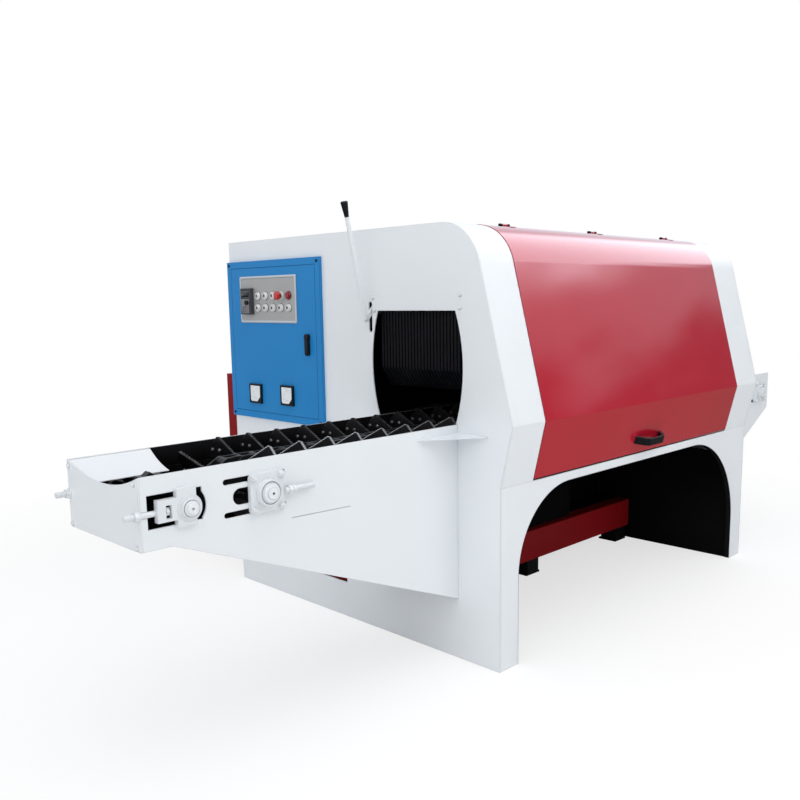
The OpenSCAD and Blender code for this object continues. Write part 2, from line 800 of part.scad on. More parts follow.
// two sloping plates over the nose shaft, leaving a gap for its toothed wheel
module trough_plates() color("white") for (s = [-1, 1]) {
  reach = trough_w * half_share - plate_t - seam;
  fall = atan2(trough_fall, reach - trough_gap_half);
  span = (reach - trough_gap_half) / cos(fall);
  translate([lane_x + s * reach, -infeed_l + trough_y0, plate_top - trough_t]) rotate([0, s * -fall, 0])
    scale([-s, 1, 1]) linear_extrude(trough_t)
      polygon([[0, 0], [0, trough_outer_l], [span, trough_inner_l], [span, 0]]);
}
// deck under the upper chain run, rail and ties under the return run, for both conveyors
module rails(from, to) {
  top_z = shaft_z + pitch_r - roller_r - seam;
  low_z = shaft_z - pitch_r - roller_r - seam;
  deck_z = shaft_z + pitch_r - link_h * half_share - free_gap;
  inside = trough_w - 2 * plate_t - 2 * seam;
  translate([lane_x - inside * half_share, from + deck_end, deck_z - deck_t])
    cube([inside, to - from - 2 * deck_end, deck_t]);
  translate([lane_x - rail_w * half_share, from + deck_end, deck_z])
    cube([rail_w, to - from - 2 * deck_end, top_z - deck_z]);
  translate([lane_x - rail_w * half_share, from + deck_end, tie_z + tie_h])
    cube([rail_w, to - from - 2 * deck_end, low_z - tie_z - tie_h]);
  for (y = [from + deck_end, (from + to - tie_w) * half_share, to - deck_end - tie_w])
    translate([lane_x - inside * half_share, y, tie_z]) cube([inside, tie_w, tie_h]);
}
module chain_rails() color("black") {
  rails(tail_y, head_y);
  rails(inner_y, end_y);
}
module outfeed_plate2d() difference() {
  polygon([
    [inner_y - plate_past, plate_top], [inner_y - plate_past, plate_bottom - inner_drop],
    [housing_l + seam, plate_bottom - inner_drop], [housing_l + seam, outfeed_root_z],
    [housing_l + outfeed_l, plate_bottom], [housing_l + outfeed_l, plate_top]
  ]);
  for (s = [-1, 1]) translate([end_y, shaft_z + s * bolt_half]) slot2d(end_bolt_slot_l, slot_w);
  translate([end_y, shaft_z]) slot2d(end_shaft_slot_l, shaft_slot_w);
  translate([inner_y, shaft_z]) circle(d = shaft_slot_w);
}
module outfeed_side_plates() color("white") {
  slab_yz(right_plate_x, plate_t) outfeed_plate2d();
  slab_yz(left_plate_x, plate_t) outfeed_plate2d();
}
// square flange bearing against a side plate, way is the side it faces
module flange_bearing(y, way) {
  half = flange_w * half_share - flange_corner_r;
  translate([lane_x + way * (trough_w * half_share + seam), y, shaft_z]) rotate([0, way * 90, 0])
    difference() {
      union() {
        linear_extrude(flange_t) {
          square([flange_w, 2 * half], center = true);
          square([2 * half, flange_w], center = true);
          for (a = [-half, half], b = [-half, half]) translate([a, b]) circle(r = flange_corner_r);
        }
        cylinder(r = boss_r, h = boss_out);
      }
      translate([0, 0, -cut]) cylinder(r = shaft_d * half_share + fit_gap, h = boss_out + 2 * cut);
    }
}
module flange_bearings() color("white") for (y = [tail_y, head_y, inner_y, end_y], way = [-1, 1])
  flange_bearing(y, way);
// outline of a take-up block in y and z: neck, ears past the window and the round of the bearing
module takeup2d(past) {
  neck_z = window_z + window_h * half_share;
  translate([nose_y - takeup_front, neck_z - neck_h * half_share]) square([takeup_front, neck_h]);
  translate([nose_y - ear_front, window_z - past]) square([ear_l, window_h + 2 * past]);
  translate([nose_y, shaft_z]) circle(r = takeup_round_r);
}
// take-up bearing blocks in the plate windows, their rods, and the studs of the tail bearings
module takeup_units() color("white") for (s = [-1, 1]) {
  face = lane_x + s * trough_w * half_share;
  difference() {
    union() {
      slab_yz(s > 0 ? face - plate_t : face, plate_t + seam) takeup2d(-seam);
      slab_yz(face + (s > 0 ? seam : -seam - takeup_out), takeup_out) difference() {
        takeup2d(takeup_lug);
        translate([nose_y - pocket_front, shaft_z - pocket_h * half_share]) square([pocket_l, pocket_h]);
      }
      bar_x(face - (s > 0 ? plate_t : takeup_step), nose_y, shaft_z, takeup_boss_r, takeup_step + plate_t);
      bar_x(s > 0 ? face - plate_t : face - takeup_ring_out, nose_y, shaft_z, takeup_ring_r,
        takeup_ring_out + plate_t);
    }
    bar_x(face - 2 * takeup_ring_out, nose_y, shaft_z, nose_shaft_r + fit_gap, 4 * takeup_ring_out);
  }
  translate([face - s * plate_t * half_share, nose_y - takeup_front - seam, shaft_z]) rotate([90, 0, 0]) {
    cylinder(r = rod_r, h = infeed_l + plate_t + rod_out + nose_y - takeup_front - seam);
    translate([0, 0, infeed_l + plate_t + nose_y - takeup_front])
      cylinder(r = rod_nut_r, h = rod_nut_t, $fn = 6);
  }
  translate([face + s * (rod_nut_r + seam), tail_y + stud_from + seam, stud_z]) rotate([-90, 0, 0]) {
    cylinder(r = rod_r, h = stud_l);
    translate([0, 0, rod_nut_t]) cylinder(r = rod_nut_r, h = rod_nut_t, $fn = 6);
  }
}
module nose_shaft() color("dimgray") {
  bar_x(left_plate_x - takeup_ring_out + cut, nose_y, shaft_z, nose_shaft_r,
    trough_w + 2 * (takeup_ring_out - cut));
  slab_yz(lane_x - nose_wheel_w * half_share, nose_wheel_w) translate([nose_y, shaft_z]) difference() {
    polygon([for (i = [0 : 2 * nose_teeth - 1]) (nose_wheel_r - (i % 2) * nose_tooth_h)
      * [cos(i * 180 / nose_teeth), sin(i * 180 / nose_teeth)]]);
    circle(r = nose_shaft_r - seam);
  }
}

// one chain link from a pin at the origin to the next along +y, ends says which pins or rollers it has
module link_plate2d(hole_r) difference() {
  union() {
    translate([0, -link_h * half_share]) square([chain_pitch, link_h]);
    circle(d = link_h);
    translate([chain_pitch, 0]) circle(d = link_h);
  }
  if (hole_r > 0) for (y = [0, chain_pitch]) translate([y, 0]) circle(r = hole_r);
}
module inner_link(ends) {
  for (x = [-inner_face - link_t, inner_face]) slab_yz(x, link_t) link_plate2d(pin_r + pin_gap);
  for (e = ends) translate([0, e * chain_pitch, 0]) rotate([0, 90, 0]) difference() {
    cylinder(r = roller_r, h = chain_w, center = true);
    cylinder(r = pin_r + pin_gap, h = chain_w + 2 * cut, center = true);
  }
}
module outer_link(ends) {
  for (x = [-outer_face - link_t, outer_face]) slab_yz(x, link_t) link_plate2d(0);
  for (e = ends) translate([0, e * chain_pitch, 0]) rotate([0, 90, 0])
    cylinder(r = pin_r, h = 2 * outer_face + link_t, center = true);
  translate([0, chain_pitch * half_share - carrier_back, 0]) carrier();
}
// toothed edge from the chain up to the point, then down the outside to the foot
function toothed(a, b) = let (n = carrier_teeth, out = [a[1] - b[1], b[0] - a[0]] / norm(b - a))
  [for (i = [0 : n - 1], p = [[0, 0], [half_share, 1]])
    a + (b - a) * (i + p[0]) / n + out * p[1] * tooth_h];
module carrier() for (s = [-1, 1]) scale([s, 1, 1]) slab_xz(-carrier_t * half_share, carrier_t) {
  low = carrier_rise - (carrier_half_w - chain_edge) * tan(carrier_slope);
  polygon(concat(
    [[chain_edge, -carrier_low]], toothed([chain_edge, low], [carrier_half_w, carrier_rise]),
    [[carrier_half_w, carrier_rise], [carrier_half_w + carrier_tip_w, carrier_rise],
     [carrier_foot_w, carrier_rise - carrier_shelf], [carrier_foot_w, -carrier_low]]));
}
// upper or return run: inner links at both ends, which share the pins on the wheels
module chain_run(y, links, way) color("dimgray")
  translate([lane_x, y, shaft_z + way * pitch_r]) rotate([way > 0 ? 0 : 180, 0, 0])
    for (i = [0 : links - 1]) translate([0, i * chain_pitch, 0])
      if (i % 2 == 0) inner_link([if (i > 0) 0, if (i < links - 1) 1]);
      else outer_link([0, 1]);
// shaft with its chain wheel and the links that lie on the wheel, way is the side of the wrap
module chain_shaft(y, way, left_past) color("dimgray") {
  r = shaft_d * half_share;
  bar_x(left_plate_x - left_past, y, shaft_z, r, trough_w + left_past + shaft_past);
  translate([lane_x, y, shaft_z]) {
    difference() {
      union() {
        slab_yz(wheel_gap - inner_face, 2 * (inner_face - wheel_gap)) difference() {
          circle(r = pitch_r * tooth_tip_share);
          for (i = [0 : sprocket_teeth - 1]) rotate(90 + i * wrap_step)
            translate([pitch_r, 0]) circle(r = pocket_r);
        }
        bar_x(-hub_l * half_share, 0, 0, hub_r, hub_l);
      }
      bar_x(-hub_l, 0, 0, r - seam, 2 * hub_l);
    }
    for (i = [0 : 2]) rotate([way > 0 ? -i * wrap_step : 180 - i * wrap_step, 0, 0])
      translate([0, 0, pitch_r]) rotate([-wrap_step * half_share, 0, 0])
        if (i == 1) inner_link([0, 1]);
        else outer_link([i == 0 ? 1 : 0]);
    for (a = [0, 180]) rotate([a, 0, 0]) translate([0, 0, pitch_r]) rotate([0, 90, 0])
      cylinder(r = roller_r, h = chain_w - 2 * roller_gap, center = true);
  }
}
module infeed_top_run() chain_run(tail_y, infeed_links, 1);
module infeed_return_run() chain_run(head_y, infeed_links, -1);
module infeed_tail_shaft() chain_shaft(tail_y, -1, shaft_past);
module infeed_head_shaft() chain_shaft(head_y, 1, boss_out + gear_w + 2 * free_gap);
module outfeed_top_run() chain_run(inner_y, outfeed_links, 1);
module outfeed_return_run() chain_run(end_y, outfeed_links, -1);
module outfeed_inner_shaft() chain_shaft(inner_y, -1, boss_out + gear_w + 2 * free_gap);
module outfeed_end_shaft() chain_shaft(end_y, 1, shaft_past);

// switch cabinet: folded box with a rim, door on the left edge, control plate and fittings
module cabinet_shell() color("steelblue") difference() {
  inside = tray_in + box_t;
  union() {
    translate([cabinet_x, door_face, cabinet_z]) cube([cabinet_w, cabinet_out - seam, cabinet_h]);
    translate([cabinet_x + tray_in, door_face, cabinet_z + tray_in])
      cube([cabinet_w - 2 * tray_in, cabinet_out + cabinet_in, cabinet_h - 2 * tray_in]);
  }
  translate([cabinet_x + inside, door_face + box_t, cabinet_z + inside])
    cube([cabinet_w - 2 * inside, cabinet_out + cabinet_in - 2 * box_t, cabinet_h - 2 * inside]);
  translate([cabinet_x + rim_w, door_face - cut, cabinet_z + rim_w])
    cube([cabinet_w - 2 * rim_w, box_t + 2 * cut, cabinet_h - 2 * rim_w]);
}
// the lip behind the rim that the door closes against
module cabinet_lip() color("steelblue") difference() {
  outer = rim_w - door_lip;
  inner = rim_w + door_lip;
  translate([cabinet_x + outer, door_face + box_t, cabinet_z + outer])
    cube([cabinet_w - 2 * outer, box_t, cabinet_h - 2 * outer]);
  translate([cabinet_x + inner, door_face, cabinet_z + inner])
    cube([cabinet_w - 2 * inner, 3 * box_t, cabinet_h - 2 * inner]);
  translate([cabinet_x + rim_w, door_face, cabinet_z + rim_w])
    cube([cabinet_w - 2 * rim_w, box_t + seam, cabinet_h - 2 * rim_w]);
}
module cabinet_box() {
  cabinet_shell();
  cabinet_lip();
}
module cabinet_door() color("steelblue") {
  translate([door_x, door_face, door_z]) cube([door_w, door_t, door_h]);
  translate([door_x + rim_w, door_face + door_t, door_z + rim_w]) difference() {
    cube([door_w - 2 * rim_w, cabinet_out * half_share, door_h - 2 * rim_w]);
    translate([box_t, -cut, box_t])
      cube([door_w - 2 * rim_w - 2 * box_t, cabinet_out, door_h - 2 * rim_w - 2 * box_t]);
  }
}
// a disc on the panel face, standing out toward -y
module disc(x, z, r, from, t) translate([x, panel_face - from, z]) rotate([90, 0, 0])
  cylinder(r = r, h = t);
module ring(x, z, r) difference() {
  disc(x, z, r + ring_w, 0, ring_t);
  disc(x, z, r + button_gap, -cut, ring_t + 2 * cut);
}
function column(i) = column_x + i * column_step;
module control_plate() color("silver") {
  translate([panel_x, panel_face, panel_z]) cube([panel_w, panel_t - seam, panel_h]);
  for (i = [0 : 4]) {
    ring(column(i), low_row_z, button_d * half_share);
    if (i != 3) ring(column(i), top_row_z, button_d * half_share);
  }
  ring(column(3), top_row_z, stop_stem_r);
}
module button(i, z) disc(column(i), z, button_d * half_share, button_rest, button_out);
module pilot_lamps() color("white") for (i = [0 : 2]) {
  disc(column(i), top_row_z, button_d * half_share, seam, button_out);
  translate([column(i), panel_face - seam - button_out, top_row_z]) rotate([90, 0, 0])
    cylinder(r1 = button_d * half_share, r2 = button_d * third_share, h = dome_t);
}
module push_button_1() color("white") button(0, low_row_z);
module push_button_2() color("white") button(1, low_row_z);
module push_button_3() color("white") button(2, low_row_z);
module push_button_4() color("white") button(3, low_row_z);
module push_button_5() color("white") button(4, low_row_z);
module red_button() color("darkred") button(4, top_row_z);
module emergency_stop() color("red") {
  disc(column(3), top_row_z, stop_stem_r, stop_rest, stop_out - stop_head_t - stop_rest);
  translate([column(3), panel_face - stop_out + stop_head_t, top_row_z]) rotate([90, 0, 0]) {
    cylinder(d = stop_d, h = stop_head_t - dome_t);
    translate([0, 0, stop_head_t - dome_t])
      cylinder(r1 = stop_d * half_share, r2 = stop_d * third_share, h = dome_t);
  }
}
keypad_in = 28;
keypad_x = panel_x + keypad_in;
keypad_drop = 31;
keypad_z = low_row_z - keypad_drop;
keypad_knob_shares = [0.7, 0.45];
display_shares = [0.66, 0.26];
keypad_knob_x = keypad_x + keypad_w * keypad_knob_shares[0];
keypad_knob_z = keypad_z + keypad_h * keypad_knob_shares[1];
module keypad() color("dimgray") difference() {
  translate([keypad_x, panel_face - keypad_out, keypad_z]) cube([keypad_w, keypad_out - seam, keypad_h]);
  translate([keypad_x + ring_w * 2, panel_face - keypad_out - cut, keypad_z + keypad_h * display_shares[0]])
    cube([keypad_w - ring_w * 4, cut * 3, keypad_h * display_shares[1]]);
}
module keypad_knob() color("black")
  translate([keypad_knob_x, panel_face - keypad_out - seam, keypad_knob_z]) rotate([90, 0, 0]) {
    cylinder(r = keypad_knob_r, h = keypad_knob_t);
    translate([-cut, 0, keypad_knob_t]) cube([2 * cut, keypad_knob_r, cut]);
  }
module panel_meters() color("black") for (i = [0, 1])
  translate([meter_x[i], door_face - meter_out, meter_z[i]]) difference() {
    cube([meter_w, meter_out - seam, meter_w]);
    translate([meter_rim, -cut, meter_rim])
      cube([meter_w - 2 * meter_rim, 3 * cut, meter_w - 2 * meter_rim]);
  }
module door_handle() color("black") translate([handle_x, door_face - seam, door_handle_z]) rotate([90, 0, 0])
  linear_extrude(door_handle_t) {
    grip_w = door_handle_w * door_grip_share;
    drop = door_handle_h - door_handle_w * half_share - grip_w * half_share;
    circle(d = door_handle_w);
    translate([0, -drop]) circle(d = grip_w);
    translate([-grip_w * half_share, -drop]) square([grip_w, drop]);
  }

// red cover: the hood's skin between the bands, hinged along its upper edge
module side_cover() color("firebrick") slab_xz(cover_y, cover_l)
  intersection() {
    skin2d(-cover_proud, cover_t - cover_proud, fold_z + cover_foot_gap);
    translate([shoulder_x + free_gap, 0]) square([hood_reach * 2, housing_h + hinge_r]);
  }
module knuckle(y, l) translate([hinge_x, y, hinge_z]) rotate([-90, 0, 0]) difference() {
  cylinder(r = hinge_r, h = l);
  translate([0, 0, -cut]) cylinder(r = hinge_pin_r + fit_gap, h = l + 2 * cut);
}
function hinge_y(s) = cover_y + hinge_end_in + hinge_span * s;
module cover_hinges() color("black") for (s = hinge_shares) translate([0, hinge_y(s), 0]) {
  for (y = [-2, 1]) {
    knuckle(y * hinge_l + seam, hinge_l - 2 * seam);
    translate([hinge_x - hinge_leaf_w, y * hinge_l + seam, housing_h])
      cube([hinge_leaf_w, hinge_l - 2 * seam, hinge_leaf_t + cut]);
  }
  translate([hinge_x, -2 * hinge_l, hinge_z]) rotate([-90, 0, 0])
    cylinder(r = hinge_pin_r, h = 4 * hinge_l);
}
module hinge_leaves() color("black") for (s = hinge_shares) translate([0, hinge_y(s) - hinge_l, 0]) {
  knuckle(seam, 2 * hinge_l - 2 * seam);
  slab_xz(seam, 2 * hinge_l - 2 * seam) intersection() {
    difference() {
      hood2d(-cover_proud - hinge_leaf_t - seam);
      hood2d(-cover_proud - seam);
    }
    translate([hinge_x + free_gap, housing_h - hinge_leaf_w]) square([hinge_leaf_w * 2, hinge_leaf_w * 2]);
  }
}
// half outline of the bow handle in its depth and length, outer edge first
module bow2d() {
  end = handle_l * half_share;
  bend = end - grip_bend;
  outer = [[seam, end], [handle_out - grip_corner, bend + grip_corner], [handle_out, bend - grip_corner]];
  inner = [[handle_out - grip_t, bend - grip_t - grip_corner], [handle_out - grip_corner - grip_t, bend],
    [seam, end - grip_foot]];
  for (s = [-1, 1]) polygon([for (p = concat([[handle_out, 0]], [outer[2], outer[1], outer[0]],
    [inner[2], inner[1], inner[0]], [[handle_out - grip_t, 0]])) [p[0], s * p[1]]]);
}
module cover_handle() color("black") translate([handle_at[0], handle_mid, handle_at[1]])
  rotate([0, atan2(-facet_n[1], facet_n[0]), 0]) translate([0, 0, -grip_h * half_share])
    linear_extrude(grip_h) bow2d();

// finger shaft in two blocks behind the wall; lever, crank, shaft and fingers turn as one
module finger_blocks() color("dimgray") for (x = block_x) difference() {
  translate([x, sheet_t + seam, finger_z - block_h * half_share])
    cube([block_w, finger_y * 2 - sheet_t * 2, block_h]);
  bar_x(x - cut, finger_y, finger_z, finger_shaft_r + fit_gap, block_w + 2 * cut);
}
module finger_lever() color("white") {
  shaft_l = block_x[1] + block_w + crank_t - lever_x + crank_t;
  bar_x(lever_x - crank_t, finger_y, finger_z, finger_shaft_r, shaft_l);
  slab_yz(lever_x - crank_t * half_share, crank_t) {
    translate([finger_y, finger_z]) circle(r = finger_eye_r);
    translate([finger_y, finger_z]) rotate(180 + atan2(finger_z - crank_z, finger_y - crank_y))
      translate([0, -crank_w * half_share])
        square([norm([finger_y - crank_y, finger_z - crank_z]), crank_w]);
    translate([crank_y, crank_z]) circle(d = crank_w);
  }
  translate([lever_x, crank_y, crank_z]) rotate([lever_lean, 0, 0]) cylinder(r = rod_lever_r, h = lever_l);
}
module lever_knob() color("black") translate([lever_x, crank_y, crank_z]) rotate([lever_lean, 0, 0])
  translate([0, 0, lever_l + seam]) rotate_extrude() {
    polygon([
      [0, 0], [rod_lever_r, 0], [knob_r, knob_l - knob_edge], [knob_r - knob_edge, knob_l], [0, knob_l]
    ]);
  }
// black fingers: eye on the shaft, straight shank, tip slanting back into the machine
module finger2d() {
  back = (finger_bend_z - finger_tip_z) * tan(finger_lean);
  half = finger_w * half_share;
  difference() {
    union() {
      translate([finger_y, finger_z]) circle(r = finger_eye_r);
      polygon([
        [finger_y - half, finger_z], [finger_y - half, finger_bend_z],
        [finger_y - half + back, finger_tip_z],
        [finger_y + half + back, finger_tip_z + half], [finger_y + half, finger_bend_z + half],
        [finger_y + half, finger_z]
      ]);
    }
    translate([finger_y, finger_z]) circle(r = finger_shaft_r + fit_gap);
  }
}
module kickback_fingers() color("black") for (i = [0 : finger_count - 1])
  slab_yz(lane_x + (i - (finger_count - 1) * half_share) * finger_pitch - finger_t * half_share, finger_t)
    finger2d();

placed() front_wall();
placed() rear_wall();
placed() hood_bands();
placed() roof_panel();
placed() left_wall();
placed() side_skirt();
placed() motor_guard();
placed() base_frame();
placed() machine_feet();
placed() inner_walls();
placed() spindle_housings();
placed() main_motors();
placed() drive_belts();
placed() feed_gearmotors();
placed() infeed_side_plates();
placed() infeed_end_plate();
placed() trough_plates();
placed() chain_rails();
placed() outfeed_side_plates();
placed() flange_bearings();
placed() takeup_units();
placed() cabinet_box();
placed() cover_hinges();
placed() finger_blocks();
placed() side_cover();
placed() cover_handle();
placed() hinge_leaves();
placed() cabinet_door();
placed() control_plate();
placed() keypad();
placed() panel_meters();
placed() pilot_lamps();
placed() keypad_knob();
placed() door_handle();
placed() emergency_stop();
placed() red_button();
placed() push_button_1();
placed() push_button_2();
placed() push_button_3();
placed() push_button_4();
placed() push_button_5();
placed() finger_lever();
placed() lever_knob();
placed() kickback_fingers();
placed() upper_arbor();
placed() upper_blades();
placed() lower_arbor();
placed() lower_blades();
placed() front_motor_rotor();
placed() rear_motor_rotor();
placed() nose_shaft();
placed() infeed_top_run();
placed() infeed_return_run();
placed() infeed_tail_shaft();
placed() infeed_head_shaft();
placed() outfeed_top_run();
placed() outfeed_return_run();
placed() outfeed_inner_shaft();
placed() outfeed_end_shaft();
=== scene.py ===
from math import cos, pi, radians, sin

import bmesh
import bpy
from mathutils import Matrix, Vector


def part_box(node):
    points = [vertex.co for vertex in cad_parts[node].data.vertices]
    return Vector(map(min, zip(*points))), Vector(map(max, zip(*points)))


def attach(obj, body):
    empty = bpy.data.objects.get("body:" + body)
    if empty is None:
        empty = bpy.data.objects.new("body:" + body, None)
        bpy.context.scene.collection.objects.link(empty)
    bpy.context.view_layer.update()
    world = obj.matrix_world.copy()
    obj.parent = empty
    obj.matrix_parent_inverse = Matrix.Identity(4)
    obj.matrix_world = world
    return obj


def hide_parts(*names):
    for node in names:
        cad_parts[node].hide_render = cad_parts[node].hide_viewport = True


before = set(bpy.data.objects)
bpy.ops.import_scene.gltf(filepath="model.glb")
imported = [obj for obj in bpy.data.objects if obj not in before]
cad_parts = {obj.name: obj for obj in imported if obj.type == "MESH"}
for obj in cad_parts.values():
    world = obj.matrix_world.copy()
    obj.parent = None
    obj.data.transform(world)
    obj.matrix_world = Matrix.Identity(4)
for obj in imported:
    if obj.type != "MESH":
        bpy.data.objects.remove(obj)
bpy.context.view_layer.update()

# ---------------------------------------------------------------- view and studio
# The machine is seen from its infeed end, off the right front corner, a little below
# the height of the roof. A pale floor and a pale surround carry soft light from above.
scene = bpy.context.scene
scene.view_settings.view_transform = "Standard"
picture_px = 800
focal_px = 851.3
principal_px = (416.18, 435.99)
sensor_mm = 36.0
view_turn, view_dip, view_roll = radians(44.59), radians(9.044), radians(-0.766)
camera_data = bpy.data.cameras.new("view")
camera_data.sensor_width = sensor_mm
camera_data.lens = focal_px * sensor_mm / picture_px
camera_data.shift_x = (picture_px / 2 - principal_px[0]) / picture_px
camera_data.shift_y = (principal_px[1] - picture_px / 2) / picture_px
camera_data.clip_end = 60
camera = bpy.data.objects.new("view", camera_data)
scene.collection.objects.link(camera)
scene.camera = camera

# sizes below are millimetres from the foot of the right front leg, as a fitter would measure
foot_corner = Vector((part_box("side_skirt")[1].x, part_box("front_wall")[0].y, 0))


def spot(x, y, z):
    return foot_corner + Vector((x, y, z)) / 1000


camera.matrix_world = (
    Matrix.Translation(spot(1994.5, -2473.7, 1452.5))
    @ Matrix.Rotation(view_turn, 4, "Z")
    @ Matrix.Rotation(pi / 2 - view_dip, 4, "X")
    @ Matrix.Rotation(view_roll, 4, "Z")
)

surround = bpy.data.worlds.new("pale surround")
scene.world = surround
surround.use_nodes = True
sky = surround.node_tree
sky.nodes.clear()
sky_out = sky.nodes.new("ShaderNodeOutputWorld")
sky_mix = sky.nodes.new("ShaderNodeMixShader")
sky_light = sky.nodes.new("ShaderNodeBackground")
sky_light.inputs["Color"].default_value = (0.94, 0.97, 1.0, 1)
sky_light.inputs["Strength"].default_value = 0.62
sky_seen = sky.nodes.new("ShaderNodeBackground")
sky_seen.inputs["Color"].default_value = (1, 1, 1, 1)
sky_seen.inputs["Strength"].default_value = 1.0
# gloss sees a bright roof light high on the right, a pale wall on the left and a darker room below
sky_gloss = sky.nodes.new("ShaderNodeBackground")
sky_gloss.inputs["Color"].default_value = (0.77, 0.79, 0.87, 1)
sky_way = sky.nodes.new("ShaderNodeTexCoord")
way_parts = sky.nodes.new("ShaderNodeSeparateXYZ")
sky.links.new(sky_way.outputs["Generated"], way_parts.inputs[0])
# the rims of the lights are uneven, like a line of trees behind a window
rim_noise = sky.nodes.new("ShaderNodeTexNoise")
rim_noise.inputs["Scale"].default_value = 11.0
rim_noise.inputs["Detail"].default_value = 3.0
sky.links.new(sky_way.outputs["Generated"], rim_noise.inputs["Vector"])


def uneven_height(depth):
    """The height of a direction, raised by up to a depth of noise."""
    height = sky.nodes.new("ShaderNodeMath")
    height.operation = "MULTIPLY_ADD"
    height.inputs[1].default_value = depth
    sky.links.new(rim_noise.outputs["Fac"], height.inputs[0])
    sky.links.new(way_parts.outputs["Z"], height.inputs[2])
    return height.outputs[0]


def glow_step(source, start, end, low, high):
    """A glow that goes from low to high while one part of the direction goes from start to end."""
    step = sky.nodes.new("ShaderNodeMapRange")
    step.interpolation_type = "SMOOTHSTEP"
    for label, amount in (("From Min", start), ("From Max", end), ("To Min", low), ("To Max", high)):
        step.inputs[label].default_value = amount
    sky.links.new(source, step.inputs["Value"])
    return step.outputs[0]


room_glow = sky.nodes.new("ShaderNodeMath")
room_glow.operation = "ADD"
sky.links.new(glow_step(uneven_height(0.46), 0.36, 0.47, 0.10, 0.58), room_glow.inputs[0])
sky.links.new(glow_step(uneven_height(0.16), 0.35, 0.43, 0.0, 2.3), room_glow.inputs[1])
side_glow = sky.nodes.new("ShaderNodeMix")
sky.links.new(glow_step(way_parts.outputs["X"], -0.34, -0.16, 0, 1), side_glow.inputs["Factor"])
side_glow.inputs["A"].default_value = 1.1
sky.links.new(room_glow.outputs[0], side_glow.inputs["B"])
sky.links.new(side_glow.outputs["Result"], sky_gloss.inputs["Strength"])
sky_path = sky.nodes.new("ShaderNodeLightPath")
gloss_mix = sky.nodes.new("ShaderNodeMixShader")
sky.links.new(sky_path.outputs["Is Glossy Ray"], gloss_mix.inputs["Fac"])
sky.links.new(sky_light.outputs[0], gloss_mix.inputs[1])
sky.links.new(sky_gloss.outputs[0], gloss_mix.inputs[2])
sky.links.new(sky_path.outputs["Is Camera Ray"], sky_mix.inputs["Fac"])
sky.links.new(gloss_mix.outputs[0], sky_mix.inputs[1])
sky.links.new(sky_seen.outputs[0], sky_mix.inputs[2])
sky.links.new(sky_mix.outputs[0], sky_out.inputs["Surface"])


def soft_lamp(name, place, aim, size, watts):
    lamp = bpy.data.lights.new(name, "AREA")
    lamp.shape = "RECTANGLE"
    lamp.size, lamp.size_y = size
    lamp.energy = watts
    lamp_object = bpy.data.objects.new(name, lamp)
    scene.collection.objects.link(lamp_object)
    way = spot(*aim) - spot(*place)
    lamp_object.matrix_world = (
        Matrix.Translation(spot(*place)) @ way.to_track_quat("-Z", "Y").to_matrix().to_4x4()
    )


soft_lamp("overhead softbox", (1400, -200, 5200), (-600, 700, 900), (5.0, 6.0), 130)
soft_lamp("front softbox", (600, -5600, 2600), (-800, 0, 900), (4.0, 3.0), 48)
soft_lamp("right softbox", (5200, 3000, 3000), (-100, 1800, 600), (3.0, 4.0), 30)

floor_mesh = bmesh.new()
bmesh.ops.create_grid(floor_mesh, x_segments=1, y_segments=1, size=30)
floor_data = bpy.data.meshes.new("floor")
floor_mesh.to_mesh(floor_data)
floor_mesh.free()
floor = bpy.data.objects.new("floor", floor_data)
floor.location.z = -0.0005
scene.collection.objects.link(floor)
floor_look = bpy.data.materials.new("pale floor")
floor_look.use_nodes = True
floor_face = floor_look.node_tree.nodes["Principled BSDF"]
floor_face.inputs["Base Color"].default_value = (0.93, 0.935, 0.94, 1)
floor_face.inputs["Roughness"].default_value = 0.7
floor_face.inputs["Specular IOR Level"].default_value = 0.15
floor_face.inputs["Emission Color"].default_value = (1, 1, 1, 1)
floor_face.inputs["Emission Strength"].default_value = 0.12
# beyond the lamps the floor is darker, and that is what the paint mirrors
floor_dark = floor_look.node_tree.nodes.new("ShaderNodeBsdfDiffuse")
floor_dark.inputs["Color"].default_value = (0.20, 0.185, 0.155, 1)
floor_tree = floor_look.node_tree
floor_path = floor_tree.nodes.new("ShaderNodeLightPath")
floor_mix = floor_tree.nodes.new("ShaderNodeMixShader")
floor_tree.links.new(floor_path.outputs["Is Glossy Ray"], floor_mix.inputs["Fac"])
floor_tree.links.new(floor_face.outputs[0], floor_mix.inputs[1])
floor_tree.links.new(floor_dark.outputs[0], floor_mix.inputs[2])
# away from the machine the floor runs out into the white surround
floor_place = floor_tree.nodes.new("ShaderNodeTexCoord")
floor_reach = floor_tree.nodes.new("ShaderNodeVectorMath")
floor_reach.operation = "LENGTH"
floor_fade = floor_tree.nodes.new("ShaderNodeMapRange")
floor_fade.interpolation_type = "SMOOTHSTEP"
floor_fade.inputs["From Min"].default_value = 1.6
floor_fade.inputs["From Max"].default_value = 4.2
floor_fade.inputs["To Min"].default_value = 0.62
floor_seen = floor_tree.nodes.new("ShaderNodeMath")
floor_seen.operation = "MULTIPLY"
floor_white = floor_tree.nodes.new("ShaderNodeEmission")
floor_last = floor_tree.nodes.new("ShaderNodeMixShader")
floor_tree.links.new(floor_place.outputs["Object"], floor_reach.inputs[0])
floor_tree.links.new(floor_reach.outputs["Value"], floor_fade.inputs["Value"])
floor_tree.links.new(floor_fade.outputs[0], floor_seen.inputs[0])
floor_tree.links.new(floor_path.outputs["Is Camera Ray"], floor_seen.inputs[1])
floor_tree.links.new(floor_seen.outputs[0], floor_last.inputs["Fac"])
floor_tree.links.new(floor_mix.outputs[0], floor_last.inputs[1])
floor_tree.links.new(floor_white.outputs[0], floor_last.inputs[2])
floor_tree.links.new(floor_last.outputs[0], floor_tree.nodes["Material Output"].inputs["Surface"])
floor_data.materials.append(floor_look)

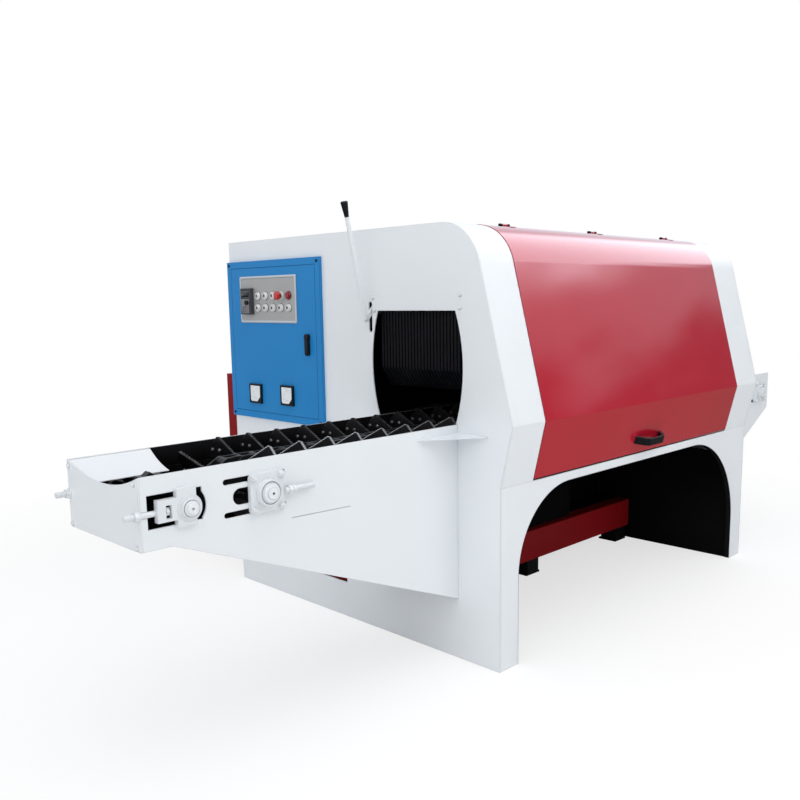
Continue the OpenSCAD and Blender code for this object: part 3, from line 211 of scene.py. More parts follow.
# ---------------------------------------------------------------- painted sheet housing
# The housing is folded and welded from steel sheet: two end walls, bands round the shoulder,
# roof, left wall and a skirt with an arch on the right. It is sprayed with white enamel.


def value_of(group, name, node, socket):
    """Ties a named input of a group to a socket of a node inside it."""
    group.links.new(group.nodes["Group Input"].outputs[name], node.inputs[socket])


def new_group(name, inputs, outputs):
    group = bpy.data.node_groups.new(name, "ShaderNodeTree")
    for label, kind, start in inputs:
        socket = group.interface.new_socket(label, in_out="INPUT", socket_type=kind)
        socket.default_value = start
    for label, kind in outputs:
        group.interface.new_socket(label, in_out="OUTPUT", socket_type=kind)
    group.nodes.new("NodeGroupInput").name = "Group Input"
    group.nodes.new("NodeGroupOutput").name = "Group Output"
    return group


def noise_in(group, scale, detail, stretch=(1, 1, 1)):
    """A noise on the piece's own coordinates, stretched along its axes."""
    place = group.nodes.new("ShaderNodeTexCoord")
    mapping = group.nodes.new("ShaderNodeMapping")
    mapping.inputs["Scale"].default_value = stretch
    noise = group.nodes.new("ShaderNodeTexNoise")
    noise.inputs["Scale"].default_value = scale
    noise.inputs["Detail"].default_value = detail
    group.links.new(place.outputs["Object"], mapping.inputs["Vector"])
    group.links.new(mapping.outputs[0], noise.inputs["Vector"])
    return noise


def ramp_of(group, source, low, high):
    """Spreads a value from low..high to 0..1."""
    spread = group.nodes.new("ShaderNodeMapRange")
    spread.inputs["From Min"].default_value = low
    spread.inputs["From Max"].default_value = high
    group.links.new(source, spread.inputs["Value"])
    return spread.outputs["Result"]


def times(group, a, b):
    node = group.nodes.new("ShaderNodeMath")
    node.operation = "MULTIPLY"
    for i, side in enumerate((a, b)):
        if isinstance(side, (int, float)):
            node.inputs[i].default_value = side
        else:
            group.links.new(side, node.inputs[i])
    return node.outputs[0]


def mixed(group, share, under, over):
    node = group.nodes.new("ShaderNodeMix")
    node.data_type = "RGBA"
    group.links.new(share, node.inputs["Factor"])
    group.links.new(under, node.inputs["A"])
    group.links.new(over, node.inputs["B"])
    return node.outputs["Result"]


# edge wear and glint: a mask that is 1 along sharp outside edges, in patches; on most finishes it marks
# rubbed wear, on the dark chain steel it lays a painted highlight
edge_wear_and_glint = new_group(
    "edge wear and glint",
    [("Width", "NodeSocketFloat", 0.004), ("Share", "NodeSocketFloat", 0.5)],
    [("Mask", "NodeSocketFloat"), ("Normal", "NodeSocketVector")],
)
edge_round = edge_wear_and_glint.nodes.new("ShaderNodeBevel")
edge_round.samples = 4
edge_true = edge_wear_and_glint.nodes.new("ShaderNodeNewGeometry")
edge_dot = edge_wear_and_glint.nodes.new("ShaderNodeVectorMath")
edge_dot.operation = "DOT_PRODUCT"
value_of(edge_wear_and_glint, "Width", edge_round, "Radius")
edge_wear_and_glint.links.new(edge_round.outputs[0], edge_dot.inputs[0])
edge_wear_and_glint.links.new(edge_true.outputs["Normal"], edge_dot.inputs[1])
edge_near = ramp_of(edge_wear_and_glint, edge_dot.outputs["Value"], 0.98, 0.8)
edge_patch = ramp_of(edge_wear_and_glint, noise_in(edge_wear_and_glint, 38, 6).outputs["Fac"], 0.48, 0.62)
edge_mask = times(
    edge_wear_and_glint,
    times(edge_wear_and_glint, edge_near, edge_patch),
    edge_wear_and_glint.nodes["Group Input"].outputs["Share"],
)
edge_wear_and_glint.links.new(edge_mask, edge_wear_and_glint.nodes["Group Output"].inputs["Mask"])
edge_wear_and_glint.links.new(edge_round.outputs[0], edge_wear_and_glint.nodes["Group Output"].inputs["Normal"])

# sprayed film: slow clouding of the colour, fine specks, and the peel of a sprayed coat
sprayed_film = new_group(
    "sprayed film",
    [
        ("Paint", "NodeSocketColor", (0.8, 0.8, 0.8, 1)),
        ("Cloud", "NodeSocketColor", (0.7, 0.7, 0.7, 1)),
        ("Cloud Share", "NodeSocketFloat", 0.3),
        ("Low Rough", "NodeSocketFloat", 0.25),
        ("High Rough", "NodeSocketFloat", 0.4),
    ],
    [("Color", "NodeSocketColor"), ("Roughness", "NodeSocketFloat"), ("Height", "NodeSocketFloat")],
)
film_cloud = ramp_of(sprayed_film, noise_in(sprayed_film, 2.3, 5).outputs["Fac"], 0.35, 0.7)
film_speck = ramp_of(sprayed_film, noise_in(sprayed_film, 160, 2).outputs["Fac"], 0.62, 0.8)
film_add = sprayed_film.nodes.new("ShaderNodeMath")
film_add.operation = "MAXIMUM"
sprayed_film.links.new(film_cloud, film_add.inputs[0])
sprayed_film.links.new(times(sprayed_film, film_speck, 0.6), film_add.inputs[1])
film_given = sprayed_film.nodes["Group Input"].outputs
film_share = times(sprayed_film, film_add.outputs[0], film_given["Cloud Share"])
film_mix = mixed(sprayed_film, film_share, film_given["Paint"], film_given["Cloud"])
sprayed_film.links.new(film_mix, sprayed_film.nodes["Group Output"].inputs["Color"])
film_rough = sprayed_film.nodes.new("ShaderNodeMapRange")
sprayed_film.links.new(noise_in(sprayed_film, 7, 4).outputs["Fac"], film_rough.inputs["Value"])
film_rough.inputs["From Min"].default_value = 0.3
film_rough.inputs["From Max"].default_value = 0.7
value_of(sprayed_film, "Low Rough", film_rough, "To Min")
value_of(sprayed_film, "High Rough", film_rough, "To Max")
sprayed_film.links.new(film_rough.outputs[0], sprayed_film.nodes["Group Output"].inputs["Roughness"])
sprayed_film.links.new(
    noise_in(sprayed_film, 420, 1).outputs["Fac"], sprayed_film.nodes["Group Output"].inputs["Height"]
)


def painted(name, paint, cloud, cloud_share, rough, edge, edge_width=0.004, edge_share=0.5,
            peel=0.02, metallic=0.0, shine=0.5, coat=0.0, coat_ior=1.5):
    """A sprayed or rubbed finish: film over the surface, and along its edges a colour that is rubbed wear
    on most finishes and a painted highlight on the chain steel.
    """
    look = bpy.data.materials.new(name)
    look.use_nodes = True
    tree = look.node_tree
    face = tree.nodes["Principled BSDF"]
    film = tree.nodes.new("ShaderNodeGroup")
    film.node_tree = sprayed_film
    film.inputs["Paint"].default_value = (*paint, 1)
    film.inputs["Cloud"].default_value = (*cloud, 1)
    film.inputs["Cloud Share"].default_value = cloud_share
    film.inputs["Low Rough"].default_value, film.inputs["High Rough"].default_value = rough
    edge_marks = tree.nodes.new("ShaderNodeGroup")
    edge_marks.node_tree = edge_wear_and_glint
    edge_marks.inputs["Width"].default_value = edge_width
    edge_marks.inputs["Share"].default_value = edge_share
    under = tree.nodes.new("ShaderNodeRGB")
    under.outputs[0].default_value = (*edge, 1)
    tree.links.new(
        mixed(tree, edge_marks.outputs["Mask"], film.outputs["Color"], under.outputs[0]), face.inputs["Base Color"]
    )
    tree.links.new(film.outputs["Roughness"], face.inputs["Roughness"])
    bump = tree.nodes.new("ShaderNodeBump")
    bump.inputs["Strength"].default_value = peel
    bump.inputs["Distance"].default_value = 0.001
    tree.links.new(film.outputs["Height"], bump.inputs["Height"])
    tree.links.new(edge_marks.outputs["Normal"], bump.inputs["Normal"])
    tree.links.new(bump.outputs[0], face.inputs["Normal"])
    face.inputs["Metallic"].default_value = metallic
    face.inputs["Specular IOR Level"].default_value = shine
    face.inputs["Coat Weight"].default_value = coat
    face.inputs["Coat IOR"].default_value = coat_ior
    face.inputs["Coat Roughness"].default_value = 0.06
    return look


def dress(look, *nodes):
    """Gives a finish to the solids that keep their own shape."""
    for node in nodes:
        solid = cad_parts[node]
        solid.data.materials.clear()
        solid.data.materials.append(look)


white_film = {
    "paint": (0.80, 0.825, 0.845), "cloud": (0.74, 0.77, 0.795), "cloud_share": 0.35,
    "rough": (0.28, 0.42), "edge": (0.62, 0.64, 0.66), "edge_width": 0.005, "edge_share": 0.25,
}
white_enamel = painted("white enamel", **white_film)
dress(white_enamel, "front_wall", "rear_wall", "hood_bands", "roof_panel", "left_wall", "side_skirt")


def join(mesh, part):
    """Adds a finished shape to the mesh of a piece."""
    shape = bpy.data.meshes.new("shape")
    part.to_mesh(shape)
    part.free()
    mesh.from_mesh(shape)
    bpy.data.meshes.remove(shape)


def turned(mesh, profile, place, axis, steps=32):
    """Turns a profile of (radius, way along the axis) round an axis through a place."""
    part = bmesh.new()
    points = [part.verts.new((radius, 0, along)) for radius, along in profile]
    edges = [part.edges.new(pair) for pair in zip(points, points[1:])]
    if profile[0][0] > 0 and profile[-1][0] > 0:
        edges.append(part.edges.new((points[-1], points[0])))
    bmesh.ops.spin(part, geom=points + edges, cent=(0, 0, 0), axis=(0, 0, 1), angle=2 * pi,
                   steps=steps, use_merge=True)
    bmesh.ops.remove_doubles(part, verts=part.verts, dist=0.001)
    bmesh.ops.recalc_face_normals(part, faces=part.faces)
    lean = Vector((0, 0, 1)).rotation_difference(Vector(axis)).to_matrix().to_4x4()
    bmesh.ops.transform(part, matrix=Matrix.Translation(place) @ lean, verts=part.verts)
    join(mesh, part)


def block(mesh, low, high, round_by):
    """A block between two opposite corners with its edges rounded."""
    part = bmesh.new()
    bmesh.ops.create_cube(part, size=1)
    centre = (Vector(low) + Vector(high)) / 2
    size = [abs(b - a) for a, b in zip(low, high)]
    for vert in part.verts:
        vert.co = centre + Vector(a * b for a, b in zip(vert.co, size))
    bmesh.ops.bevel(part, geom=part.edges[:], offset=round_by, affect="EDGES", segments=2,
                    profile=0.5, material=-1)
    join(mesh, part)


def bolt(mesh, place, axis, size):
    """A hexagon head of a thread size, chamfered, on its washer."""
    washer, head = 0.2 * size, 0.85 * size
    turned(mesh, [(0, 0), (1.1 * size, 0), (1.1 * size, 0.8 * washer), (1.04 * size, washer),
                  (0, washer)], place, axis, 24)
    turned(mesh, [(0, washer), (0.9 * size, washer), (0.9 * size, 0.9 * head), (0.8 * size, head),
                  (0, head)], place, axis, 6)


def pan_screw(mesh, place, axis, radius):
    """A low round head with a socket."""
    turned(mesh, [(0, 0), (radius, 0), (radius, 0.25 * radius), (0.85 * radius, 0.5 * radius),
                  (0.5 * radius, 0.62 * radius), (0.42 * radius, 0.6 * radius),
                  (0.36 * radius, 0.25 * radius), (0, 0.2 * radius)], place, axis, 20)


def piece(name, mesh, look, body):
    """Finishes a mesh drawn in millimetres and lets it move with a body."""
    data = bpy.data.meshes.new(name)
    for vert in mesh.verts:
        vert.co = spot(*vert.co)
    mesh.to_mesh(data)
    mesh.free()
    data.materials.append(look)
    data.shade_smooth()
    data.set_sharp_from_angle(angle=radians(32))
    thing = bpy.data.objects.new(name, data)
    scene.collection.objects.link(thing)
    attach(thing, body)
    return thing


face_bolts = bmesh.new()
for x, z in ((-689, 1468), (-682, 1414), (-198, 1473), (-199, 1424)):
    bolt(face_bolts, (x, 0, z), (0, -1, 0), 9)
piece("face_bolts", face_bolts, white_enamel, "machine")

# a thin black sheet on the folded lip of the arch is painted shade: it stands for the dark inside of the
# housing seen through the arch
black_paint = painted("matt black paint", (0.005, 0.005, 0.006), (0.010, 0.010, 0.010), 0.6,
                      (0.5, 0.7), (0.04, 0.04, 0.042), edge_share=0.4, peel=0.06, shine=0.12)


def arch_line(inset):
    """The edge of the arch as points in y and z, moved into the opening."""
    line = [(116 + inset, 0.5)]
    for (y, z), radius, start in (((461, 358), 345, 180), ((1570, 233), 470, 90)):
        for step in range(25):
            angle = radians(start - 90 * step / 24)
            line.append((y + (radius - inset) * cos(angle), z + (radius - inset) * sin(angle)))
    return line + [(2040 - inset, 0.5)]


def thicken(mesh, faces, way):
    """Gives a sheet its thickness along a way and turns its faces outwards."""
    raised = bmesh.ops.extrude_face_region(mesh, geom=faces)["geom"]
    corners = [part for part in raised if isinstance(part, bmesh.types.BMVert)]
    bmesh.ops.translate(mesh, verts=corners, vec=way)
    bmesh.ops.recalc_face_normals(mesh, faces=mesh.faces)


arch_shade_mesh = bmesh.new()
rows = [[arch_shade_mesh.verts.new((-27, y, z)) for y, z in arch_line(inset)] for inset in (0.1, 2.8)]
for (a, b), (c, d) in zip(zip(rows[0], rows[0][1:]), zip(rows[1], rows[1][1:])):
    arch_shade_mesh.faces.new((a, b, d, c))
thicken(arch_shade_mesh, arch_shade_mesh.faces[:], (26, 0, 0))
piece("arch_shade_sheet", arch_shade_mesh, black_paint, "machine")

# ---------------------------------------------------------------- base, feet and left guard
# A welded base of square beams carries the housing. The base and the louvred guard over the
# motors are sprayed red, and the block feet under the beams are black.
# the red of the base and the guard is darker than the cover's red: painted shade for the beam in the dark
# under the housing, and the guard shares it
shaded_red_enamel = painted("red enamel, darkened for shade", (0.25, 0.006, 0.009), (0.20, 0.005, 0.007), 0.4,
                     (0.30, 0.42), (0.16, 0.03, 0.03), edge_share=0.2, shine=0.15)
dress(shaded_red_enamel, "base_frame", "motor_guard")
dress(black_paint, "machine_feet")
guard_screws = bmesh.new()
guard_low, guard_high = ((corner - foot_corner) * 1000 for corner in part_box("motor_guard"))
for share in (0.015, 0.34, 0.66, 0.985):
    y = guard_low.y + (guard_high.y - guard_low.y) * share
    for z in (guard_low.z + 26, guard_high.z - 26):
        pan_screw(guard_screws, (guard_low.x, y, z), (-1, 0, 0), 7)
piece("guard_screws", guard_screws, shaded_red_enamel, "machine")

# ---------------------------------------------------------------- inside the housing
# A thick wall carries the two spindle housings. Two motors drive the spindles by wedge belts,
# and a gearmotor sits on the drive shaft of each conveyor.
# near black: on the inner walls it is painted shade for the dark inside of the housing; the chain rails are
# black
bay_black_and_shade = painted("bay black and painted shade", (0.0025, 0.0025, 0.003), (0.005, 0.005, 0.005), 0.6,
                    (0.6, 0.8), (0.015, 0.015, 0.015), edge_share=0.3, peel=0.05, shine=0.06)
dress(bay_black_and_shade, "inner_walls", "chain_rails")
housing_iron = painted("housing iron", (0.045, 0.048, 0.052), (0.07, 0.07, 0.068), 0.6,
                       (0.45, 0.65), (0.16, 0.16, 0.16), edge_share=0.5, peel=0.15)
dress(housing_iron, "spindle_housings", "finger_blocks")
# the motors are near black so that the feed gearmotors above the left plate sink into the dark of the bay:
# partly their enamel, partly painted shade
shaded_motor_enamel = painted("motor enamel, darkened for shade", (0.018, 0.021, 0.026), (0.013, 0.015, 0.02), 0.5,
                       (0.4, 0.55), (0.12, 0.12, 0.12), edge_share=0.4, peel=0.1, shine=0.25)
dress(shaded_motor_enamel, "main_motors", "feed_gearmotors")
belt_rubber = painted("belt rubber", (0.012, 0.012, 0.012), (0.03, 0.028, 0.026), 0.5,
                      (0.6, 0.85), (0.04, 0.04, 0.04), edge_share=0.4, peel=0.1)
dress(belt_rubber, "drive_belts")
bright_steel = painted("ground steel", (0.58, 0.59, 0.60), (0.44, 0.44, 0.44), 0.45,
                       (0.22, 0.38), (0.70, 0.70, 0.70), edge_share=0.5, peel=0.03, metallic=1.0)
flange_bolts = bmesh.new()
flange_face_x, bolt_circle, bolt_count = -674, 105, 8
for y, z in ((1000, 1405), (1180, 965)):
    for number in range(bolt_count):
        angle = (number + 0.5) * 2 * pi / bolt_count
        place = (flange_face_x, y + bolt_circle * cos(angle), z + bolt_circle * sin(angle))
        bolt(flange_bolts, place, (1, 0, 0), 9)
piece("flange_bolts", flange_bolts, bright_steel, "machine")
dress(bright_steel, "upper_arbor", "lower_arbor", "upper_blades", "lower_blades",
      "front_motor_rotor", "rear_motor_rotor")

# ---------------------------------------------------------------- infeed and outfeed conveyors
# Bent side plates hang from the end walls and carry the shafts. Between them runs a roller
# chain with a pair of toothed carriers bolted to every second link.
cast_coat = painted("enamel on castings", (0.77, 0.795, 0.815), (0.69, 0.715, 0.735), 0.5,
                    (0.26, 0.42), (0.42, 0.43, 0.44), edge_width=0.003, edge_share=0.6, peel=0.25)
dress(cast_coat, "flange_bearings", "takeup_units")
lane_x, shaft_height = -443.5, 857
nose_y, tail_y, head_y, inner_y, end_y = -1201, -922, 665.5, 1623.5, 2830
carrier_pitch = 127
carrier_runs = (("infeed", "infeed_upper", -845, 12), ("outfeed", "outfeed_upper", 1700.5, 9))

# the side plates are white outside and black on the faces towards the chain
plate_coat = painted("side plates, black inside", **white_film)
plate_tree = plate_coat.node_tree
plate_face = plate_tree.nodes["Principled BSDF"]
plate_place = plate_tree.nodes.new("ShaderNodeTexCoord")
from_lane = plate_tree.nodes.new("ShaderNodeVectorMath")
from_lane.operation = "SUBTRACT"
from_lane.inputs[1].default_value = spot(lane_x, 0, 0)
lane_parts = plate_tree.nodes.new("ShaderNodeSeparateXYZ")
lane_width = plate_tree.nodes.new("ShaderNodeMath")
lane_width.operation = "ABSOLUTE"
plate_tree.links.new(plate_place.outputs["Object"], from_lane.inputs[0])
plate_tree.links.new(from_lane.outputs[0], lane_parts.inputs[0])
plate_tree.links.new(lane_parts.outputs["X"], lane_width.inputs[0])
plate_black = plate_tree.nodes.new("ShaderNodeRGB")
plate_black.outputs[0].default_value = (0.004, 0.004, 0.005, 1)
plate_white = plate_face.inputs["Base Color"].links[0].from_socket
inside = ramp_of(plate_tree, lane_width.outputs[0], 0.2234, 0.2230)
plate_tree.links.new(
    mixed(plate_tree, inside, plate_white, plate_black.outputs[0]), plate_face.inputs["Base Color"]
)
dress(plate_coat, "infeed_side_plates", "outfeed_side_plates")
dress(white_enamel, "infeed_end_plate")

# the trough over the nose: two rolled sheets, the left one welded to the scooped edge of the
# end plate, the right one lower and black
roll_radius, roll_z, sheet_rows = 602.6, 1525.6, 24


def trough_sheet(name, way, line, front, look):
    """A sheet between two ends in y, rolled to a line of (way out, height, rear end)."""
    sheet = bmesh.new()
    rows = [
        [sheet.verts.new((lane_x + way * out, y, z)) for y in (front, rear)] for out, z, rear in line
    ]
    for (a, b), (c, d) in zip(rows, rows[1:]):
        sheet.faces.new((a, b, d, c))
    thicken(sheet, sheet.faces[:], (0, 0, -2.5))
    return piece(name, sheet, look, "machine")


left_line, right_line = [], []
for step in range(sheet_rows + 1):
    share = step / sheet_rows
    out = 20 + 202 * share
    height = roll_z - (roll_radius ** 2 - out ** 2) ** 0.5
    left_line.append((out, height + 0.4, -1115 + 44 * share))
    right_line.append((out, height - 0.4 - 22 * (1 - share) ** 0.6, -1115 + 44 * share))
left_line += [(222.3, 968.4, -1071), (228.3, 968.4, -1071)]
trough_left = trough_sheet("trough_left", -1, left_line, -1350.8, white_enamel)
trough_right = trough_sheet("trough_right", 1, right_line, -1344.5, bay_black_and_shade)
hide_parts("trough_plates")
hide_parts("trough_plates")
# the chain steel is near black with lighter edges: partly rubbed wear, partly a painted highlight along the
# serrated edges
chain_steel = painted("oiled chain steel", (0.007, 0.007, 0.008), (0.022, 0.020, 0.019), 0.5,
                      (0.32, 0.5), (0.20, 0.20, 0.205), edge_width=0.0035, edge_share=0.8, peel=0.08,
                      metallic=0.2, shine=0.3)
dress(chain_steel, "infeed_top_run", "infeed_return_run", "outfeed_top_run", "outfeed_return_run",
      "infeed_tail_shaft", "infeed_head_shaft", "outfeed_inner_shaft", "outfeed_end_shaft", "nose_shaft")

# a thin black strip lines the inner face of each plate of the infeed above the deck
inner_black_strips = bmesh.new()
for plate_x, strip_x in ((-221, -223), (-666, -664)):
    block(inner_black_strips, (plate_x, -1068, 898), (strip_x, 755, 966.5), 0.6)
piece("inner_black_strips", inner_black_strips, bay_black_and_shade, "machine")

# a black sheet covers the slots of the left plate from inside, open round the shafts; it is painted shade
# for the dark inside of the nose seen through the slots
slot_shade = bmesh.new()
slot_shade_edges = []
slot_shade_lines = [[(-1343, 758), (-800, 758), (-800, 896), (-1068, 896), (-1068, 917), (-1343, 917)]]
for y, radius in ((nose_y, 30), (tail_y, 32)):
    slot_shade_lines.append([
        (y + radius * cos(step * pi / 16), shaft_height + radius * sin(step * pi / 16))
        for step in range(32)
    ])
for points in slot_shade_lines:
    ring = [slot_shade.verts.new((-664.4, y, z)) for y, z in points]
    slot_shade_edges += [slot_shade.edges.new((a, b)) for a, b in zip(ring, ring[1:] + ring[:1])]
bmesh.ops.triangle_fill(slot_shade, use_beauty=True, use_dissolve=False, edges=slot_shade_edges)
thicken(slot_shade, slot_shade.faces[:], (-1.4, 0, 0))
piece("slot_shade_sheet", slot_shade, bay_black_and_shade, "machine")

# a black pan closes the belly between the plates, just above their lower edge; it keeps the inside dark,
# and its black is painted shade
belly_shade = bmesh.new()
belly_shade_line = [(-1349, 752), (-1256, 752), (-700, 533)]
rows = [[belly_shade.verts.new((x, y, z)) for y, z in belly_shade_line] for x in (-665.6, -221.4)]
for (a, b), (c, d) in zip(zip(*rows), zip(rows[0][1:], rows[1][1:])):
    belly_shade.faces.new((a, b, d, c))
thicken(belly_shade, belly_shade.faces[:], (0, 0, 2))
piece("belly_shade_pan", belly_shade, bay_black_and_shade, "machine")

# four bolts, a raised lip, a seal and a grease nipple on every square bearing
stud_end = [(0, 10), (6, 10), (6, 15), (5, 16), (0, 16)]
bearing_lip = [(44, -1), (44, 1.5), (42.5, 2.6), (39, 2.6), (37, 0.3), (37, -1)]
bearing_collar = [(34, -1), (34, 0.8), (32, 1.8), (30, 1.8), (30, -1)]
bearing_seal = [(37.4, -1), (37.4, 0.5), (33.6, 0.5), (33.6, -1)]
grease_nipple = [(0, -2), (4.5, -2), (4.5, 3), (3, 4), (3, 7), (3.8, 8.5), (2.4, 11), (0, 11)]
bearing_bolts, bearing_rings, bearing_seals = bmesh.new(), bmesh.new(), bmesh.new()
for y in (tail_y, head_y, inner_y, end_y):
    for way, flange, boss in ((1, -200.7, -182.7), (-1, -686.3, -704.3)):
        for up in (-52.5, 52.5):
            for along in (-52.5, 52.5):
                place = (flange, y + along, shaft_height + up)
                bolt(bearing_bolts, place, (way, 0, 0), 13)
                turned(bearing_bolts, stud_end, place, (way, 0, 0), 16)
        centre = (boss, y, shaft_height)
        turned(bearing_rings, bearing_lip, centre, (way, 0, 0), 48)
        turned(bearing_rings, bearing_collar, centre, (way, 0, 0), 48)
        turned(bearing_seals, bearing_seal, centre, (way, 0, 0), 48)
        turned(bearing_rings, grease_nipple, (boss - 8 * way, y, shaft_height + 44), (0, 0, 1), 12)
piece("bearing_bolts", bearing_bolts, cast_coat, "machine")

# the take-up bearings at the nose have the same lip and seal
for way, boss in ((1, -191), (-1, -696)):
    turned(bearing_rings, [(31, -1), (31, 1.6), (29.5, 2.8), (27, 2.8), (25.5, 0.4), (25.5, -1)],
           (boss, nose_y, shaft_height), (way, 0, 0), 48)
    turned(bearing_seals, [(25.8, -1), (25.8, 0.5), (22.5, 0.5), (22.5, -1)],
           (boss, nose_y, shaft_height), (way, 0, 0), 48)
piece("bearing_rings", bearing_rings, cast_coat, "machine")
# the seals are dark grey between the pale lip and collar: partly the seal's own colour, partly painted
# shade in the groove
seal_and_shade_grey = painted("bearing seal and painted shade", (0.27, 0.28, 0.29), (0.20, 0.21, 0.215), 0.4,
                    (0.45, 0.6), (0.34, 0.345, 0.35), edge_width=0.001, edge_share=0.2)
piece("bearing_seals", bearing_seals, seal_and_shade_grey, "machine")


def shaft_end(mesh, place, way, radius, out, collar):
    """A locking collar with its set screw and the sprayed end of a shaft with its centre hole."""
    turned(mesh, [(radius + 0.2, 0.3), (collar, 0.3), (collar, out - 7), (collar - 2, out - 5),
                  (radius + 0.2, out - 5)], place, (way, 0, 0), 40)
    turned(mesh, [(0, 1), (radius + 0.3, 1), (radius + 0.3, out - 2), (radius - 1.6, out), (4.2, out),
                  (3.6, out - 8), (0, out - 9)], place, (way, 0, 0), 40)
    turned(mesh, [(0, 0), (3.6, 0), (3.6, 1.2), (2.2, 1.2), (2.2, 0.4), (0, 0.4)],
           (place[0] + way * 0.45 * (out - 5), place[1], place[2] + collar), (0, 0, 1), 12)


for name, body, y, sides in (
    ("tail_shaft_ends", "infeed_tail", tail_y, (1, -1)),
    ("head_shaft_ends", "infeed_head", head_y, (1,)),
    ("inner_shaft_ends", "outfeed_inner", inner_y, (1,)),
    ("outfeed_shaft_ends", "outfeed_end", end_y, (1, -1)),
):
    ends = bmesh.new()
    for way in sides:
        shaft_end(ends, (lane_x + way * 260.8, y, shaft_height), way, 20, 15, 30)
    piece(name, ends, white_enamel, body)
nose_ends = bmesh.new()
for way in (1, -1):
    shaft_end(nose_ends, (lane_x + way * 252.5, nose_y, shaft_height), way, 17.5, 11, 24)
piece("nose_shaft_ends", nose_ends, white_enamel, "nose_wheel")


def threaded(mesh, place, axis, radius, length, pitch=2.5):
    """A threaded length, drawn as rings of the thread's height."""
    profile = [(0, 0), (radius - 1, 0)]
    for turn in range(int(length / pitch)):
        profile += [(radius + 0.4, (turn + 0.5) * pitch), (radius - 0.7, (turn + 1) * pitch)]
    turned(mesh, profile + [(0, profile[-1][1])], place, axis, 16)


# take-up screws with their nuts and washers, and the setting studs behind the tail bearings
setting_screws = bmesh.new()
for way in (1, -1):
    rod_x, stud_x = lane_x + way * 225.5, lane_x + way * 243.8
    threaded(setting_screws, (rod_x, -1370, shaft_height), (0, -1, 0), 9.2, 32)
    turned(setting_screws, [(9.4, 0), (18, 0), (18, 2), (17, 2.6), (9.4, 2.6)],
           (rod_x, -1356, shaft_height), (0, -1, 0), 28)
    threaded(setting_screws, (stud_x, -830, 852), (0, 1, 0), 9.2, 92)
    turned(setting_screws, [(9.4, 0), (14.6, 0), (14.6, 9), (13.6, 10), (9.4, 10)],
           (stud_x, -827, 852), (0, 1, 0), 6)
    turned(setting_screws, [(9.4, 0), (14, 0), (14, 10), (13, 11), (9.4, 11)],
           (rod_x, -1263, shaft_height), (0, -1, 0), 6)
piece("setting_screws", setting_screws, white_enamel, "machine")
# black floors at the back of the take-up pockets are painted shade in these recesses
pocket_shades = bmesh.new()
for way in (1, -1):
    floor_x = lane_x + way * 229
    block(pocket_shades, (floor_x, -1277.5, 837.5), (floor_x + way, -1260.5, 876.5), 0.3)
piece("pocket_shade_floors", pocket_shades, bay_black_and_shade, "machine")

# two bolts near the outer end of each toothed arm hold it to its bracket
# the shoulder steel is mid grey: partly rubbed wear, partly a painted highlight
shoulder_wear_and_glint = painted("shoulder steel, wear and painted highlight", (0.20, 0.20, 0.205), (0.08, 0.078, 0.075), 0.6,
                         (0.35, 0.5), (0.30, 0.30, 0.31), edge_width=0.002, edge_share=0.6, metallic=0.4)
for run, body, first, count in carrier_runs:
    lug_bolts = bmesh.new()
    for number in range(count):
        for x, z in ((141, 938), (185, 937)):
            for way in (-1, 1):
                place = (lane_x + way * x, first + carrier_pitch * number - 4, z)
                bolt(lug_bolts, place, (0, -1, 0), 6)
    piece(run + "_carrier_bolts", lug_bolts, shoulder_wear_and_glint, body)

# logs run against the right arm of each V and wear its teeth and its shoulder bright; the bright strips are
# partly that wear and partly a painted highlight, as only the right arms, which face the light, get them
tooth_wear_and_glint = painted("tooth steel, wear and painted highlight", (0.80, 0.80, 0.81), (0.40, 0.39, 0.38), 0.5,
                      (0.3, 0.45), (0.62, 0.62, 0.63), edge_width=0.002, edge_share=0.8, metallic=0.5)
tooth_count, tooth_high = 11, 4
slope_low, slope_high = Vector((29.4, 0, 921.5)), Vector((153, 0, 984.5))
slope_out = Vector((slope_low.z - slope_high.z, 0, slope_high.x - slope_low.x)).normalized()
tooth_tips = []
for number in range(tooth_count):
    root, next_root = (slope_low.lerp(slope_high, (number + step) / tooth_count) for step in (0, 1))
    tip = root.lerp(next_root, 0.5) + slope_out * tooth_high
    tooth_tips.append([tip.lerp(root, 0.4), tip, tip.lerp(next_root, 0.4)])
shoulder_line = [Vector((153, 0, 984.5)), Vector((159, 0, 984.5)), Vector((200, 0, 944.5))]
strip_section = ((-4.3, -2.2), (-4.3, 0.4), (4.3, 0.4), (4.3, -2.2))


def bright_edge_strip(mesh, line, lift_way, carrier_y):
    """A bright strip over the edge of a carrier along a line of points."""
    strip = bmesh.new()
    rows = []
    for point in line:
        row = []
        for along, lift in strip_section:
            corner = point + lift_way * lift
            row.append(strip.verts.new((lane_x + corner.x, carrier_y + along, corner.z)))
        rows.append(row)
    for near, far in zip(rows, rows[1:]):
        for i in range(4):
            strip.faces.new((near[i], near[(i + 1) % 4], far[(i + 1) % 4], far[i]))
    strip.faces.new(rows[0])
    strip.faces.new(rows[-1])
    bmesh.ops.recalc_face_normals(strip, faces=strip.faces)
    join(mesh, strip)


for part_name, lines, lift_way, look in (
    ("teeth", tooth_tips, slope_out, tooth_wear_and_glint),
    ("shoulders", [shoulder_line], Vector((0.4, 0, 0.9)), shoulder_wear_and_glint),
):
    for run, body, first, count in carrier_runs:
        bright_strips = bmesh.new()
        for number in range(count):
            for line in lines:
                bright_edge_strip(bright_strips, line, lift_way, first + carrier_pitch * number)
        piece("%s_%s" % (run, part_name), bright_strips, look, body)

